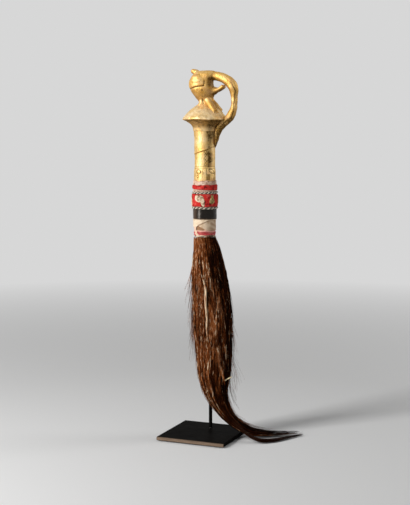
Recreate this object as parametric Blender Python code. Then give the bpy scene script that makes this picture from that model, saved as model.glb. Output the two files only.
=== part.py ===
"""A fly whisk on its display stand, in metres, +Z up.

The origin is the centre of the underside of the felt under the stand's plate. The plate's edges lie along X
and Y. The whisk hangs upright in front of the post, its carved animal faces +X, and the tail falls straight
and then sweeps away along SWEEP, over the plate's right edge and on to the surface beside it.
"""

import math

import bmesh
import bpy
from mathutils import Matrix, Vector

# Clearance that neighbouring pieces keep, and how finely round pieces are drawn
GAP = 0.0003
TURN_STEPS = 26
FINE_STEPS = 36

# Stand: a four inch square steel plate on felt, with a round post near its back edge
PLATE_SIDE = 0.1016
PLATE_THICK = 0.005
PLATE_BEVEL = 0.0005
FELT_THICK = 0.0009
FELT_INSET = 0.003
PLATE_LOW = FELT_THICK + GAP
PLATE_TOP = PLATE_LOW + PLATE_THICK
POST_Y = 0.026
POST_RADIUS = 0.0025
POST_LOW = PLATE_TOP + GAP
POST_SHOULDER = 0.4406
PIN_RADIUS = 0.0016
PIN_TOP = 0.4520
PIN_CHAMFER = 0.0005
SCREW_RADIUS = 0.0015
SCREW_HEAD_RADIUS = 0.0029
SCREW_HEAD_TOP = PLATE_LOW + 0.0020
SCREW_HEAD_LOW = PLATE_LOW + 0.0006
SCREW_LOW = PLATE_LOW + 0.0001
SCREW_TOP = 0.0140
POST_SIDES = 20
PAST = 0.001

# Whisk: its upright axis, and the plane in which the tail sweeps
AXIS_Y = 0.0045
SWEEP_DEGREES = 22.6
SWEEP = Vector((math.cos(math.radians(SWEEP_DEGREES)), math.sin(math.radians(SWEEP_DEGREES)), 0))
ACROSS = Vector((-SWEEP.y, SWEEP.x, 0))

# Wooden core of the handle
CORE_RADIUS = 0.0139
TENON_RADIUS = 0.0070
TENON_TOP = 0.4580
CORE_SHOULDER = 0.4339
TANG_RADIUS = 0.0090
TANG_SHOULDER = 0.3248
TANG_LOW = 0.2920
TANG_CHAMFER = 0.0010

# Gold sheet round the shaft: two sheets that lap along a slanting edge
SHEET_INNER = CORE_RADIUS + GAP
UPPER_SHEET_RADIUS = 0.0151
LOWER_SHEET_RADIUS = 0.0147
SHEET_FOOT_RADIUS = 0.0154
SHEET_LAP_Z = 0.4070
SHEET_LAP_SLOPE = 0.27
SHEET_LOW = 0.3626
SHEET_FOOT_TOP = 0.3746
SHEET_FOOT_TAPER = 0.0060

# Collar: a mushroom cap, its outline from the crown down to the shaft as (radius, height)
COLLAR_CAP = (
    (0.0050, 0.4722),
    (0.0087, 0.4702),
    (0.0132, 0.4671),
    (0.0180, 0.4638),
    (0.0229, 0.4594),
    (0.0273, 0.4548),
    (0.0299, 0.4516),
    (0.0308, 0.4496),
)
COLLAR_UNDER = (
    (0.0303, 0.4486),
    (0.0255, 0.4464),
    (0.0210, 0.4433),
    (0.0182, 0.4405),
    (0.0167, 0.4375),
    (0.0159, 0.4342),
)
COLLAR_CROWN = 0.4730
SOCKET_RADIUS = 0.0020
SOCKET_TOP = PIN_TOP + GAP
SOCKET_SIDES = 16

# Wrappings below the gold, from the top down
LINEN_RADIUS = 0.0156
LINEN_TOP = 0.3623
LINEN_LOW = 0.3249
LINEN_HEM_RADIUS = 0.0168
LINEN_HEM_LOW = 0.3591
BAND_INNER = LINEN_RADIUS + GAP
CLOTH_EDGE = 0.0008
RED_NARROW = (0.3522, 0.3587, 0.0176)
RED_WIDE = (0.3286, 0.3460, 0.0182)
PATCH_THICK = 0.0006
PATCHES = ((-90, 24), (-34, 16), (24, 16), (144, 16), (196, 22))
PATCH_STEPS = 5
PATCH_LOW = 0.3320
PATCH_TOP = 0.3440
CORD_RADIUS = 0.0007
CORD_UPPER_Z = 0.3493
CORD_LOWER_Z = 0.3267
CORD_FALL = 0.0003
CORD_KNOT_DEGREES = 100
ONE_TURN = 0.95
LEATHER = (0.3110, 0.3246, 0.0167)
HIDE_RADIUS = 0.0146
HIDE_TOP = 0.3240
HIDE_LOW = 0.2853
HIDE_NECK_RADIUS = 0.0136
HIDE_NECK_TOP = 0.2958
WRAP_INNER = HIDE_RADIUS + GAP
WRAP_TOP = 0.3107
WRAP_LAP_Z = 0.3050
WRAP_LAP_SLOPE = 0.33
WRAP_LOW = 0.2961
UPPER_WRAP_RADIUS = 0.0157
LOWER_WRAP_RADIUS = 0.0154
THREAD_RADIUS = 0.0006
THREAD_RED_TOP = 0.2948
THREAD_RED_TURNS = 4
THREAD_PITCH = 0.0017
THREAD_GREEN_Z = 0.2872
THREAD_KNOT_DEGREES = 70
LOOP_POINTS = 24

# Padded saddle that steadies the whisk against the post, behind the leather band
SADDLE_Z = 0.3178
PAD = (0.0170, 0.0176)
SADDLE = (0.0179, 0.0187)
SADDLE_HALF_HEIGHT = 0.0045
SADDLE_HALF_ANGLE = 34

# Tail: stations from the root to the tip as (along SWEEP, height, lean from straight down in degrees,
# half width in the plane of the sweep, half depth across it, shift across it)
TAIL_STATIONS = (
    (0.0000, 0.2720, 0, 0.0148, 0.0148, 0.0000),
    (0.0038, 0.2320, 2, 0.0245, 0.0180, -0.0020),
    (0.0092, 0.1600, 5, 0.0295, 0.0190, -0.0030),
    (0.0140, 0.0900, 16, 0.0235, 0.0165, -0.0030),
    (0.0305, 0.0440, 44, 0.0130, 0.0125, -0.0040),
    (0.0600, 0.0165, 68, 0.0070, 0.0090, -0.0060),
    (0.1380, 0.0034, 92, 0.0015, 0.0030, 0.0090),
)
STRAND_SHARE = (1.0, 0.66, 0.62, 0.60, 0.56, 0.50, 0.40)
STRETCH_CYCLE = (6,) * 3 + (5,) * 5 + (4,) * 6 + (3,) * 6
SHARE_STEPS = 8
LEAST_SHARE = 0.45
TAIL_RINGS = 7
TAIL_SLICE = 0.001
TAIL_CROWN = 0.009
SECTOR_SHRINK = 0.96
PALE_SHRINK = 0.86
PALE_CELLS = slice(4, 9)
SKIRT_STRANDS = 30
SKIRT_SLICE = 0.0025
SKIRT_STAGGER = 0.006
SKIRT_LEVELS = ((0.2825, 0.0148, 0.0158), (0.2700, 0.0157, 0.0167), (0.2560, 0.0170, 0.0170))

# Finial: the animal's body as (height, middle along X, half width along X, half depth along Y)
BODY_LEVELS = (
    (0.4760, -0.0010, 0.0100, 0.0080),
    (0.4800, -0.0012, 0.0138, 0.0112),
    (0.4870, -0.0012, 0.0180, 0.0145),
    (0.4930, -0.0028, 0.0192, 0.0160),
    (0.4990, -0.0033, 0.0195, 0.0165),
    (0.5040, -0.0024, 0.0194, 0.0158),
    (0.5085, -0.0005, 0.0182, 0.0138),
    (0.5122, 0.0015, 0.0155, 0.0106),
    (0.5152, 0.0028, 0.0115, 0.0072),
)
BODY_TOP = (0.5163, 0.0032)
BODY_SIDES = 20
# Trunk: its middle line in the X, Z plane with its radius, from the head over the arch to the shaft
TRUNK_LINE = (
    (0.0060, 0.5090, 0.0068),
    (0.0190, 0.5094, 0.0066),
    (0.0290, 0.5070, 0.0065),
    (0.0366, 0.5026, 0.0062),
    (0.0418, 0.4962, 0.0059),
    (0.0436, 0.4870, 0.0055),
    (0.0434, 0.4770, 0.0052),
    (0.0420, 0.4670, 0.0053),
    (0.0396, 0.4580, 0.0058),
    (0.0345, 0.4500, 0.0062),
    (0.0265, 0.4428, 0.0058),
    (0.0205, 0.4350, 0.0046),
    (0.0168, 0.4240, 0.0036),
    (0.0146, 0.4120, 0.0022),
)
TRUNK_SEAM_X = 0.0185
TRUNK_SEAM_Z = (0.4900, 0.5300)
TRUNK_ROOT_POINTS = 3
STRIP_SPAN = (0.395, 0.436)
TRUNK_SIDES = 12
LEGS = (
    ((-0.0030, -0.0035, 0.4840), (-0.0034, -0.0045, 0.4745), (-0.0040, -0.0058, 0.4675)),
    ((-0.0030, 0.0035, 0.4840), (-0.0034, 0.0045, 0.4745), (-0.0040, 0.0058, 0.4675)),
    ((0.0030, -0.0035, 0.4840), (0.0075, -0.0050, 0.4735), (0.0150, -0.0066, 0.4640)),
    ((0.0030, 0.0035, 0.4840), (0.0075, 0.0050, 0.4735), (0.0150, 0.0066, 0.4640)),
)
LEG_RADII = (0.0052, 0.0046, 0.0050)
# Jaw, tusk and tail as (x, y, height, radius) along their middle lines
JAW_LINE = ((0.0020, 0.0, 0.4860, 0.0075), (0.0125, 0.0, 0.4862, 0.0066), (0.0225, 0.0, 0.4900, 0.0044))
JAW_BREADTH = 1.15
TUSK_LINE = (
    (0.0165, 0.0040, 0.4866, 0.0032),
    (0.0235, 0.0042, 0.4892, 0.0034),
    (0.0295, 0.0044, 0.4934, 0.0028),
)
NUB_LINE = (
    (-0.0070, 0.0, 0.5105, 0.0036),
    (-0.0130, 0.0, 0.5152, 0.0036),
    (-0.0185, 0.0, 0.5166, 0.0032),
    (-0.0215, 0.0, 0.5148, 0.0024),
)
LIMB_SIDES = 10
TUSK_SIDES = 8
EAR_CENTRE = (-0.0072, 0.0132, 0.5018)
EAR_RADII = (0.0112, 0.0048, 0.0094)
EAR_SIDES = 14
EAR_RINGS = 9


def material(name, colour, roughness, metallic=0.0):
    """A Principled material of one colour."""
    made = bpy.data.materials.new(name)
    made.use_nodes = True
    shader = made.node_tree.nodes["Principled BSDF"]
    shader.inputs["Base Color"].default_value = (*colour, 1)
    shader.inputs["Roughness"].default_value = roughness
    shader.inputs["Metallic"].default_value = metallic
    made.diffuse_color = (*colour, 1)
    return made


def add_object(name, mesh, surface, parent, at=(0, 0, 0)):
    """Links a mesh as a named part, shaded smooth but for its sharp edges."""
    obj = bpy.data.objects.new(name, mesh)
    bpy.context.scene.collection.objects.link(obj)
    obj.parent = parent
    obj.location = at
    if surface is not None:
        mesh.materials.append(surface)
    mesh.shade_smooth()
    mesh.set_sharp_from_angle(angle=math.radians(40))
    return obj


def add_empty(name, at, parent=None):
    """An empty that stands for a moving group, at its joint."""
    empty = bpy.data.objects.new(name, None)
    bpy.context.scene.collection.objects.link(empty)
    empty.location = at
    empty.parent = parent
    return empty


def to_mesh(shape, name):
    """A bmesh as a closed mesh with its faces pointing out."""
    bmesh.ops.recalc_face_normals(shape, faces=shape.faces[:])
    mesh = bpy.data.meshes.new(name)
    shape.to_mesh(mesh)
    shape.free()
    return mesh


def turned(name, outline, steps=TURN_STEPS, whole_ring=True):
    """An outline of (radius, height) points spun about Z, as a ring or as a solid that meets the axis."""
    shape = bmesh.new()
    corners = [shape.verts.new((radius, 0, height)) for radius, height in outline]
    pairs = list(zip(corners, corners[1:]))
    if whole_ring:
        pairs.append((corners[-1], corners[0]))
    edges = [shape.edges.new(pair) for pair in pairs]
    bmesh.ops.spin(
        shape, geom=edges, cent=(0, 0, 0), axis=(0, 0, 1), angle=math.tau, steps=steps, use_merge=True
    )
    bmesh.ops.remove_doubles(shape, verts=shape.verts[:], dist=1e-6)
    return to_mesh(shape, name)


def sleeve_outline(inner, outer, low, top, edge=0.0004):
    """A ring's outline with its two outer edges taken off."""
    return (
        (inner, top),
        (outer - edge, top),
        (outer, top - edge),
        (outer, low + edge),
        (outer - edge, low),
        (inner, low),
    )


def slant(mesh, height, slope, shift=0.0):
    """Tilts the edge of a sleeve that lies at a height, so that it rises along SWEEP."""
    for vertex in mesh.vertices:
        if abs(vertex.co.z - height) < 2 * GAP:
            vertex.co.z += shift + slope * vertex.co.dot(SWEEP)


def offset_outline(outline, distance):
    """An outline of (radius, height) points moved outwards, to the left of the way it runs down."""
    moved = []
    for index, (radius, height) in enumerate(outline):
        before = Vector(outline[max(index - 1, 0)])
        after = Vector(outline[min(index + 1, len(outline) - 1)])
        along = (after - before).normalized()
        moved.append((max(radius - along.y * distance, 0), height + along.x * distance))
    return moved


def lofted(name, loops, point_top=None):
    """A closed skin over loops of points, with flat caps, or with its last loop drawn to a point."""
    shape = bmesh.new()
    rings = [[shape.verts.new(point) for point in loop] for loop in loops]
    sides = len(rings[0])
    for ring, following in zip(rings, rings[1:]):
        for side in range(sides):
            after = (side + 1) % sides
            shape.faces.new((ring[side], ring[after], following[after], following[side]))
    shape.faces.new(rings[0])
    if point_top is None:
        shape.faces.new(rings[-1])
    else:
        top = shape.verts.new(point_top)
        for side in range(sides):
            shape.faces.new((rings[-1][side], rings[-1][(side + 1) % sides], top))
    return to_mesh(shape, name)


def circle(centre, first, second, sides):
    """The corners of a round or oval loop that its two half axes span."""
    turns = [math.tau * side / sides for side in range(sides)]
    return [centre + first * math.cos(turn) + second * math.sin(turn) for turn in turns]


def swept(name, line, radii, sides, flat=1.0):
    """A round bar of changing radius along a line, its breadth along Y scaled by flat, with closed ends."""
    points = [Vector(point) for point in line]
    loops = []
    for index, (point, radius) in enumerate(zip(points, radii)):
        ahead = points[min(index + 1, len(points) - 1)] - points[max(index - 1, 0)]
        across = Vector((0, 1, 0)) - ahead * (ahead.y / ahead.length_squared)
        across.normalize()
        upward = across.cross(ahead.normalized())
        loops.append(circle(point, across * (radius * flat), upward * radius, sides))
    return lofted(name, loops)


def swept_line(name, line, sides, side=1, grow=0.0, flat=1.0):
    """A bar along (x, y, height, radius) points, mirrored across the animal's plane where side is -1."""
    points = [(x, side * y, z) for x, y, z, _ in line]
    return swept(name, points, [radius + grow for *_, radius in line], sides, flat)


def body_form(name, grow=0.0):
    """The animal's body: stacked ellipses, closed to a point above and a flat cap below."""
    loops = []
    for height, middle, wide, deep in BODY_LEVELS:
        half_width, half_depth = Vector((wide + grow, 0, 0)), Vector((0, deep + grow, 0))
        loops.append(circle(Vector((middle, 0, height)), half_width, half_depth, BODY_SIDES))
    return lofted(name, loops, (BODY_TOP[1], 0, BODY_TOP[0] + grow))


def ellipsoid(name, centre, radii):
    """A stretched ball."""
    shape = bmesh.new()
    place = Matrix.Translation(centre) @ Matrix.Diagonal((*radii, 1))
    bmesh.ops.create_uvsphere(shape, u_segments=EAR_SIDES, v_segments=EAR_RINGS, radius=1, matrix=place)
    return to_mesh(shape, name)


def block(name, low, high):
    """A box between two corners."""
    shape = bmesh.new()
    size = Vector(high) - Vector(low)
    middle = (Vector(high) + Vector(low)) / 2
    bmesh.ops.create_cube(shape, size=1, matrix=Matrix.Translation(middle) @ Matrix.Diagonal((*size, 1)))
    return to_mesh(shape, name)


def rod(name, radius, low, top, sides, y=0.0):
    """An upright cylinder."""
    shape = bmesh.new()
    place = Matrix.Translation((0, y, (low + top) / 2))
    bmesh.ops.create_cone(
        shape, cap_ends=True, segments=sides, radius1=radius, radius2=radius, depth=top - low, matrix=place
    )
    return to_mesh(shape, name)


def helper(name, mesh, parent):
    """A cutter or an addend for a Boolean, which isn't a part itself."""
    obj = add_object(name, mesh, None, parent)
    obj.hide_render = True
    obj.display_type = "WIRE"
    return obj


def combine(obj, others, operation):
    """Adds or cuts helpers with Boolean modifiers."""
    for other in others:
        step = obj.modifiers.new(f"{operation.lower()} {other.name}", "BOOLEAN")
        step.operation = operation
        step.object = other
        step.solver = "EXACT"


def arc_plate(name, inner, outer, low, top, middle_degrees, half_degrees, steps=10):
    """A curved plate round Z, its middle at an angle from +X."""
    shape = bmesh.new()
    corners = [
        shape.verts.new((radius, 0, height))
        for radius, height in ((inner, low), (outer, low), (outer, top), (inner, top))
    ]
    face = shape.faces.new(corners)
    start = math.radians(middle_degrees - half_degrees)
    bmesh.ops.rotate(shape, verts=corners, cent=(0, 0, 0), matrix=Matrix.Rotation(start, 3, "Z"))
    bmesh.ops.spin(
        shape,
        geom=[face, *face.edges, *corners],
        cent=(0, 0, 0),
        axis=(0, 0, 1),
        angle=math.radians(2 * half_degrees),
        steps=steps,
    )
    return to_mesh(shape, name)


def wound(name, radius, thread, top, pitch, turns, start_degrees, surface, parent):
    """A winding: one unbroken thread that goes down round Z. It prints the least gap between its turns."""
    count = round(turns * LOOP_POINTS) + 1
    points = []
    for index in range(count):
        turn = math.radians(start_degrees) + math.tau * index / LOOP_POINTS
        height = top - pitch * index / LOOP_POINTS
        points.append(Vector((radius * math.cos(turn), radius * math.sin(turn), height)))
    apart = [
        (a - b).length
        for i, a in enumerate(points)
        for b in points[i + LOOP_POINTS // 2 :]
    ]
    print(f"{name}: least gap to itself {(min(apart) - 2 * thread) * 1000:.2f} mm")
    curve = bpy.data.curves.new(name, "CURVE")
    curve.dimensions = "3D"
    curve.bevel_depth = thread
    curve.bevel_resolution = 1
    curve.use_fill_caps = True
    curve.materials.append(surface)
    spline = curve.splines.new("POLY")
    spline.points.add(count - 1)
    for target, point in zip(spline.points, points):
        target.co = (*point, 1)
    obj = bpy.data.objects.new(name, curve)
    bpy.context.scene.collection.objects.link(obj)
    obj.parent = parent
    return obj


def lattice_point(ring, index):
    """A corner of the strands' pattern in the unit disc: ring n holds 6n corners."""
    if ring == 0:
        return (0.0, 0.0)
    turn = math.tau * index / (6 * ring)
    return (ring / TAIL_RINGS * math.cos(turn), ring / TAIL_RINGS * math.sin(turn))


def sector_cells(sector):
    """The triangles of one sixth of the disc, each as three (ring, index) corners in turn."""
    cells = []
    for ring in range(1, TAIL_RINGS + 1):
        inner, outer = sector * (ring - 1), sector * ring
        for step in range(ring):
            inside = (inner + step) % max(6 * (ring - 1), 1)
            further = (outer + step + 1) % (6 * ring)
            cells.append(((ring - 1, inside), (ring, outer + step), (ring, further)))
            if step < ring - 1:
                beside = (inner + step + 1) % (6 * (ring - 1))
                cells.append(((ring - 1, inside), (ring, further), (ring - 1, beside)))
    return cells


def tail_point(station, p, q):
    """Where a point of the unit disc lies in the tail's cross-section at a station."""
    along, height, lean, half_width, half_depth, shift = TAIL_STATIONS[station]
    lean = math.radians(lean)
    broad = SWEEP * math.cos(lean) + Vector((0, 0, math.sin(lean)))
    centre = SWEEP * along + Vector((0, 0, height))
    return centre + broad * (half_width * p) + ACROSS * (shift + half_depth * q)


def strand_length(ring, index):
    """How many stretches a strand has, and how far along its last one it ends. Both cycle with its place in
    the pattern, so that neighbours differ and few reach the tip."""
    stretches = STRETCH_CYCLE[(ring * 7 + index * 5) % len(STRETCH_CYCLE)]
    share = (ring * 3 + index * 11) % SHARE_STEPS / (SHARE_STEPS - 1)
    return stretches, LEAST_SHARE + (1 - LEAST_SHARE) * share


def lock(name, cells, shrink, surface, parent, pivot):
    """A lock of hair: each triangle of the pattern runs down as a strand of three sides that tapers to a
    point, and all of them are fused to one slice of the tail's root, which is domed so that it turns clear
    of the handle. No strand crosses another, because each stays inside its own triangle of the pattern."""
    places = {corner: Vector(lattice_point(*corner)) for cell in cells for corner in cell}
    middle = sum(places.values(), Vector((0, 0))) / len(places)
    places = {corner: middle + (place - middle) * shrink for corner, place in places.items()}
    shape = bmesh.new()
    roots = {corner: shape.verts.new(tail_point(0, *place) - pivot) for corner, place in places.items()}
    for cell in cells:
        centre = sum((places[corner] for corner in cell), Vector((0, 0))) / 3
        stretches, share = strand_length(*cell[1])
        above = [roots[corner] for corner in cell]
        for station in range(1, stretches):
            thick = STRAND_SHARE[station]
            spread = [centre + (places[corner] - centre) * thick for corner in cell]
            below = [shape.verts.new(tail_point(station, *place) - pivot) for place in spread]
            for side in range(3):
                after = (side + 1) % 3
                shape.faces.new((above[side], above[after], below[after], below[side]))
            above = below
        last, following = tail_point(stretches - 1, *centre), tail_point(stretches, *centre)
        tip = shape.verts.new(last.lerp(following, share) - pivot)
        for side in range(3):
            shape.faces.new((above[side], above[(side + 1) % 3], tip))
    tops = {}
    for corner, place in places.items():
        rise = Vector((0, 0, TAIL_SLICE + TAIL_CROWN * (1 - place.length)))
        tops[corner] = shape.verts.new(roots[corner].co + rise)
    uses = {}
    for cell in cells:
        shape.faces.new([tops[corner] for corner in cell])
        for side in range(3):
            pair = (cell[side], cell[(side + 1) % 3])
            uses[frozenset(pair)] = None if frozenset(pair) in uses else pair
    for start, end in (pair for pair in uses.values() if pair):
        shape.faces.new((roots[start], roots[end], tops[end], tops[start]))
    return add_object(name, to_mesh(shape, name), surface, parent)


def skirt(name, surface, parent):
    """The short outer hairs: a ring of strands of four sides under the hide, round the tail's root."""
    shape = bmesh.new()
    root_height = TAIL_STATIONS[0][1]
    along, next_height, _, half_width, half_depth, shift = TAIL_STATIONS[1]

    def place(turn, radius, height):
        down = max((root_height - height) / (root_height - next_height), 0)
        wide = 1 + down * (half_width / half_depth - 1)
        side = SWEEP * (radius * wide * math.cos(turn) + along * down)
        return side + ACROSS * (radius * math.sin(turn) + shift * down) + Vector((0, 0, height))

    def corners(level, turn):
        height, inner, outer = SKIRT_LEVELS[level]
        return place(turn, inner, height), place(turn, outer, height)

    step = math.tau / SKIRT_STRANDS
    base = [[shape.verts.new(point) for point in corners(0, step * index)] for index in range(SKIRT_STRANDS)]
    raised = [[shape.verts.new(vertex.co + Vector((0, 0, SKIRT_SLICE))) for vertex in pair] for pair in base]
    for index in range(SKIRT_STRANDS):
        after = (index + 1) % SKIRT_STRANDS
        for side in range(2):
            shape.faces.new((base[index][side], base[after][side], raised[after][side], raised[index][side]))
        shape.faces.new((raised[index][0], raised[after][0], raised[after][1], raised[index][1]))
        above = [base[index][0], base[index][1], base[after][1], base[after][0]]
        near, far = corners(1, step * (index + 0.2)), corners(1, step * (index + 0.8))
        below = [shape.verts.new(point) for point in (near[0], near[1], far[1], far[0])]
        stagger = Vector((0, 0, SKIRT_STAGGER * (index % 3)))
        tip = shape.verts.new(corners(2, step * (index + 0.5))[0] + stagger)
        for side in range(4):
            after_side = (side + 1) % 4
            shape.faces.new((above[side], above[after_side], below[after_side], below[side]))
            shape.faces.new((below[side], below[after_side], tip))
    return add_object(name, to_mesh(shape, name), surface, parent)


def build_plate(steel, felt):
    """The plate with its screw's seat, and the felt under it."""
    half = PLATE_SIDE / 2
    slab = block("base_plate", (-half, -half, PLATE_LOW), (half, half, PLATE_TOP))
    plate = add_object("base_plate", slab, steel, None)
    seat_outline = (
        (0, PLATE_TOP + PAST),
        (SCREW_RADIUS + GAP, PLATE_TOP + PAST),
        (SCREW_RADIUS + GAP, SCREW_HEAD_TOP + GAP),
        (SCREW_HEAD_RADIUS + GAP, SCREW_HEAD_LOW + GAP),
        (SCREW_HEAD_RADIUS + GAP, -PAST),
        (0, -PAST),
    )
    seat = helper("screw_seat_cut", turned("screw_seat_cut", seat_outline, POST_SIDES, False), None)
    seat.location = (0, POST_Y, 0)
    combine(plate, [seat], "DIFFERENCE")
    edge = plate.modifiers.new("edge", "BEVEL")
    edge.width = PLATE_BEVEL
    edge.segments = 1
    edge.angle_limit = math.radians(60)
    inset = half - FELT_INSET
    add_object("felt_pad", block("felt_pad", (-inset, -inset, 0), (inset, inset, FELT_THICK)), felt, None)


def build_post(steel, bright):
    """The post, bored from below for its screw, with a pin on top that the whisk rests on."""
    bore = SCREW_RADIUS + GAP
    post_outline = (
        (0, PIN_TOP),
        (PIN_RADIUS - PIN_CHAMFER, PIN_TOP),
        (PIN_RADIUS, PIN_TOP - PIN_CHAMFER),
        (PIN_RADIUS, POST_SHOULDER),
        (POST_RADIUS - PIN_CHAMFER, POST_SHOULDER),
        (POST_RADIUS, POST_SHOULDER - PIN_CHAMFER),
        (POST_RADIUS, POST_LOW),
        (bore, POST_LOW),
        (bore, SCREW_TOP + GAP),
        (0, SCREW_TOP + GAP),
    )
    add_object("post", turned("post", post_outline, POST_SIDES, False), steel, None, (0, POST_Y, 0))
    screw_outline = (
        (0, SCREW_TOP),
        (SCREW_RADIUS - PIN_CHAMFER, SCREW_TOP),
        (SCREW_RADIUS, SCREW_TOP - PIN_CHAMFER),
        (SCREW_RADIUS, SCREW_HEAD_TOP),
        (SCREW_HEAD_RADIUS, SCREW_HEAD_LOW),
        (SCREW_HEAD_RADIUS, SCREW_LOW),
        (0, SCREW_LOW),
    )
    screw = turned("post_screw", screw_outline, POST_SIDES, False)
    add_object("post_screw", screw, bright, None, (0, POST_Y, 0))


def build_saddle(steel, felt):
    """The padded saddle behind the leather band."""
    low, top = SADDLE_Z - SADDLE_HALF_HEIGHT, SADDLE_Z + SADDLE_HALF_HEIGHT
    saddle_at = (0, AXIS_Y, 0)
    for name, (inner, outer), surface in (("saddle_pad", PAD, felt), ("saddle", SADDLE, steel)):
        plate = arc_plate(name, inner, outer, low, top, 90, SADDLE_HALF_ANGLE)
        add_object(name, plate, surface, None, saddle_at)


def collar_outline(grow=0.0):
    """The collar's outer outline from its crown to the shaft."""
    outline = [(0, COLLAR_CROWN), *COLLAR_CAP, *COLLAR_UNDER]
    return offset_outline(outline, grow) if grow else outline


def collar_cutter(name, handle):
    """The collar a clearance larger, to fit what rests on it."""
    outline = [*collar_outline(GAP), (0, COLLAR_UNDER[-1][1])]
    outline[0] = (0, COLLAR_CROWN + GAP)
    return helper(name, turned(name, outline, FINE_STEPS, whole_ring=False), handle)


def build_finial(gold, handle):
    """The carved animal that stands on the collar: body with legs and jaw, ears, tusks, tail and trunk."""
    dome = collar_cutter("collar_clearance", handle)
    body = add_object("finial_body", body_form("finial_body"), gold, handle)
    forms = {}
    for number, line in enumerate(LEGS):
        forms[f"leg_form_{number}"] = swept("leg_form", line, LEG_RADII, LIMB_SIDES)
    forms["jaw_form"] = swept_line("jaw_form", JAW_LINE, LIMB_SIDES, flat=JAW_BREADTH)
    trunk = [(x, 0, z, radius) for x, z, radius in TRUNK_LINE]
    forms["trunk_root_form"] = swept_line("trunk_root_form", trunk[:TRUNK_ROOT_POINTS], TRUNK_SIDES)
    limbs = [helper(name, mesh, handle) for name, mesh in forms.items()]
    half, (low, top) = 2 * TRUNK_LINE[0][2], TRUNK_SEAM_Z
    beyond_seam = block("beyond_seam", (TRUNK_SEAM_X, -half, low), (TRUNK_SEAM_X + half, half, top))
    combine(limbs[-1], [helper("beyond_seam", beyond_seam, handle)], "DIFFERENCE")
    combine(body, limbs, "UNION")
    combine(body, [dome], "DIFFERENCE")

    arch = add_object("finial_trunk", swept_line("finial_trunk", trunk, TRUNK_SIDES), gold, handle)
    before_seam = block("before_seam", (-half, -half, low), (TRUNK_SEAM_X + GAP, half, top))
    shaft = rod("shaft_clearance", UPPER_SHEET_RADIUS + GAP, *STRIP_SPAN, FINE_STEPS)
    cutters = [helper("before_seam", before_seam, handle), dome, helper("shaft_clearance", shaft, handle)]
    combine(arch, cutters, "DIFFERENCE")

    jaw = swept_line("jaw_clearance", JAW_LINE, LIMB_SIDES, grow=GAP, flat=JAW_BREADTH)
    around = [
        helper("body_clearance", body_form("body_clearance", GAP), handle),
        helper("jaw_clearance", jaw, handle),
    ]
    x, y, z = EAR_CENTRE
    for place, side in (("near", -1), ("far", 1)):
        ear_mesh = ellipsoid(f"ear_{place}", (x, side * y, z), EAR_RADII)
        ear = add_object(f"ear_{place}", ear_mesh, gold, handle)
        combine(ear, around[:1], "DIFFERENCE")
        tusk_mesh = swept_line(f"tusk_{place}", TUSK_LINE, TUSK_SIDES, side)
        tusk = add_object(f"tusk_{place}", tusk_mesh, gold, handle)
        combine(tusk, around, "DIFFERENCE")
    nub = add_object("tail_nub", swept_line("tail_nub", NUB_LINE, LIMB_SIDES), gold, handle)
    combine(nub, around[:1], "DIFFERENCE")


def build_shaft(gold, wood, handle):
    """Collar, wooden core and the two gold sheets round the shaft."""
    bore = TENON_RADIUS + GAP
    outline = [
        *collar_outline(),
        (bore, COLLAR_UNDER[-1][1]),
        (bore, TENON_TOP + GAP),
        (0, TENON_TOP + GAP),
    ]
    collar = add_object("collar", turned("collar", outline, FINE_STEPS, False), gold, handle)
    socket = rod("pin_socket_cut", SOCKET_RADIUS, CORE_SHOULDER, SOCKET_TOP, SOCKET_SIDES, POST_Y - AXIS_Y)
    combine(collar, [helper("pin_socket_cut", socket, handle)], "DIFFERENCE")

    core = (
        (0, TENON_TOP),
        (TENON_RADIUS, TENON_TOP),
        (TENON_RADIUS, CORE_SHOULDER),
        (CORE_RADIUS, CORE_SHOULDER),
        (CORE_RADIUS, TANG_SHOULDER),
        (TANG_RADIUS, TANG_SHOULDER),
        (TANG_RADIUS, TANG_LOW + TANG_CHAMFER),
        (TANG_RADIUS - TANG_CHAMFER, TANG_LOW),
        (0, TANG_LOW),
    )
    add_object("handle_core", turned("handle_core", core, whole_ring=False), wood, handle)

    upper_outline = sleeve_outline(SHEET_INNER, UPPER_SHEET_RADIUS, SHEET_LAP_Z, CORE_SHOULDER)
    upper = turned("gold_sheet_upper", upper_outline)
    slant(upper, SHEET_LAP_Z, SHEET_LAP_SLOPE)
    add_object("gold_sheet_upper", upper, gold, handle)
    lower_outline = (
        (SHEET_INNER, SHEET_LAP_Z),
        (LOWER_SHEET_RADIUS, SHEET_LAP_Z),
        (LOWER_SHEET_RADIUS, SHEET_FOOT_TOP + SHEET_FOOT_TAPER),
        (SHEET_FOOT_RADIUS, SHEET_FOOT_TOP),
        (SHEET_FOOT_RADIUS, SHEET_LOW),
        (SHEET_INNER, SHEET_LOW),
    )
    lower = turned("gold_sheet_lower", lower_outline)
    slant(lower, SHEET_LAP_Z, SHEET_LAP_SLOPE, -GAP)
    add_object("gold_sheet_lower", lower, gold, handle)


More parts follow.
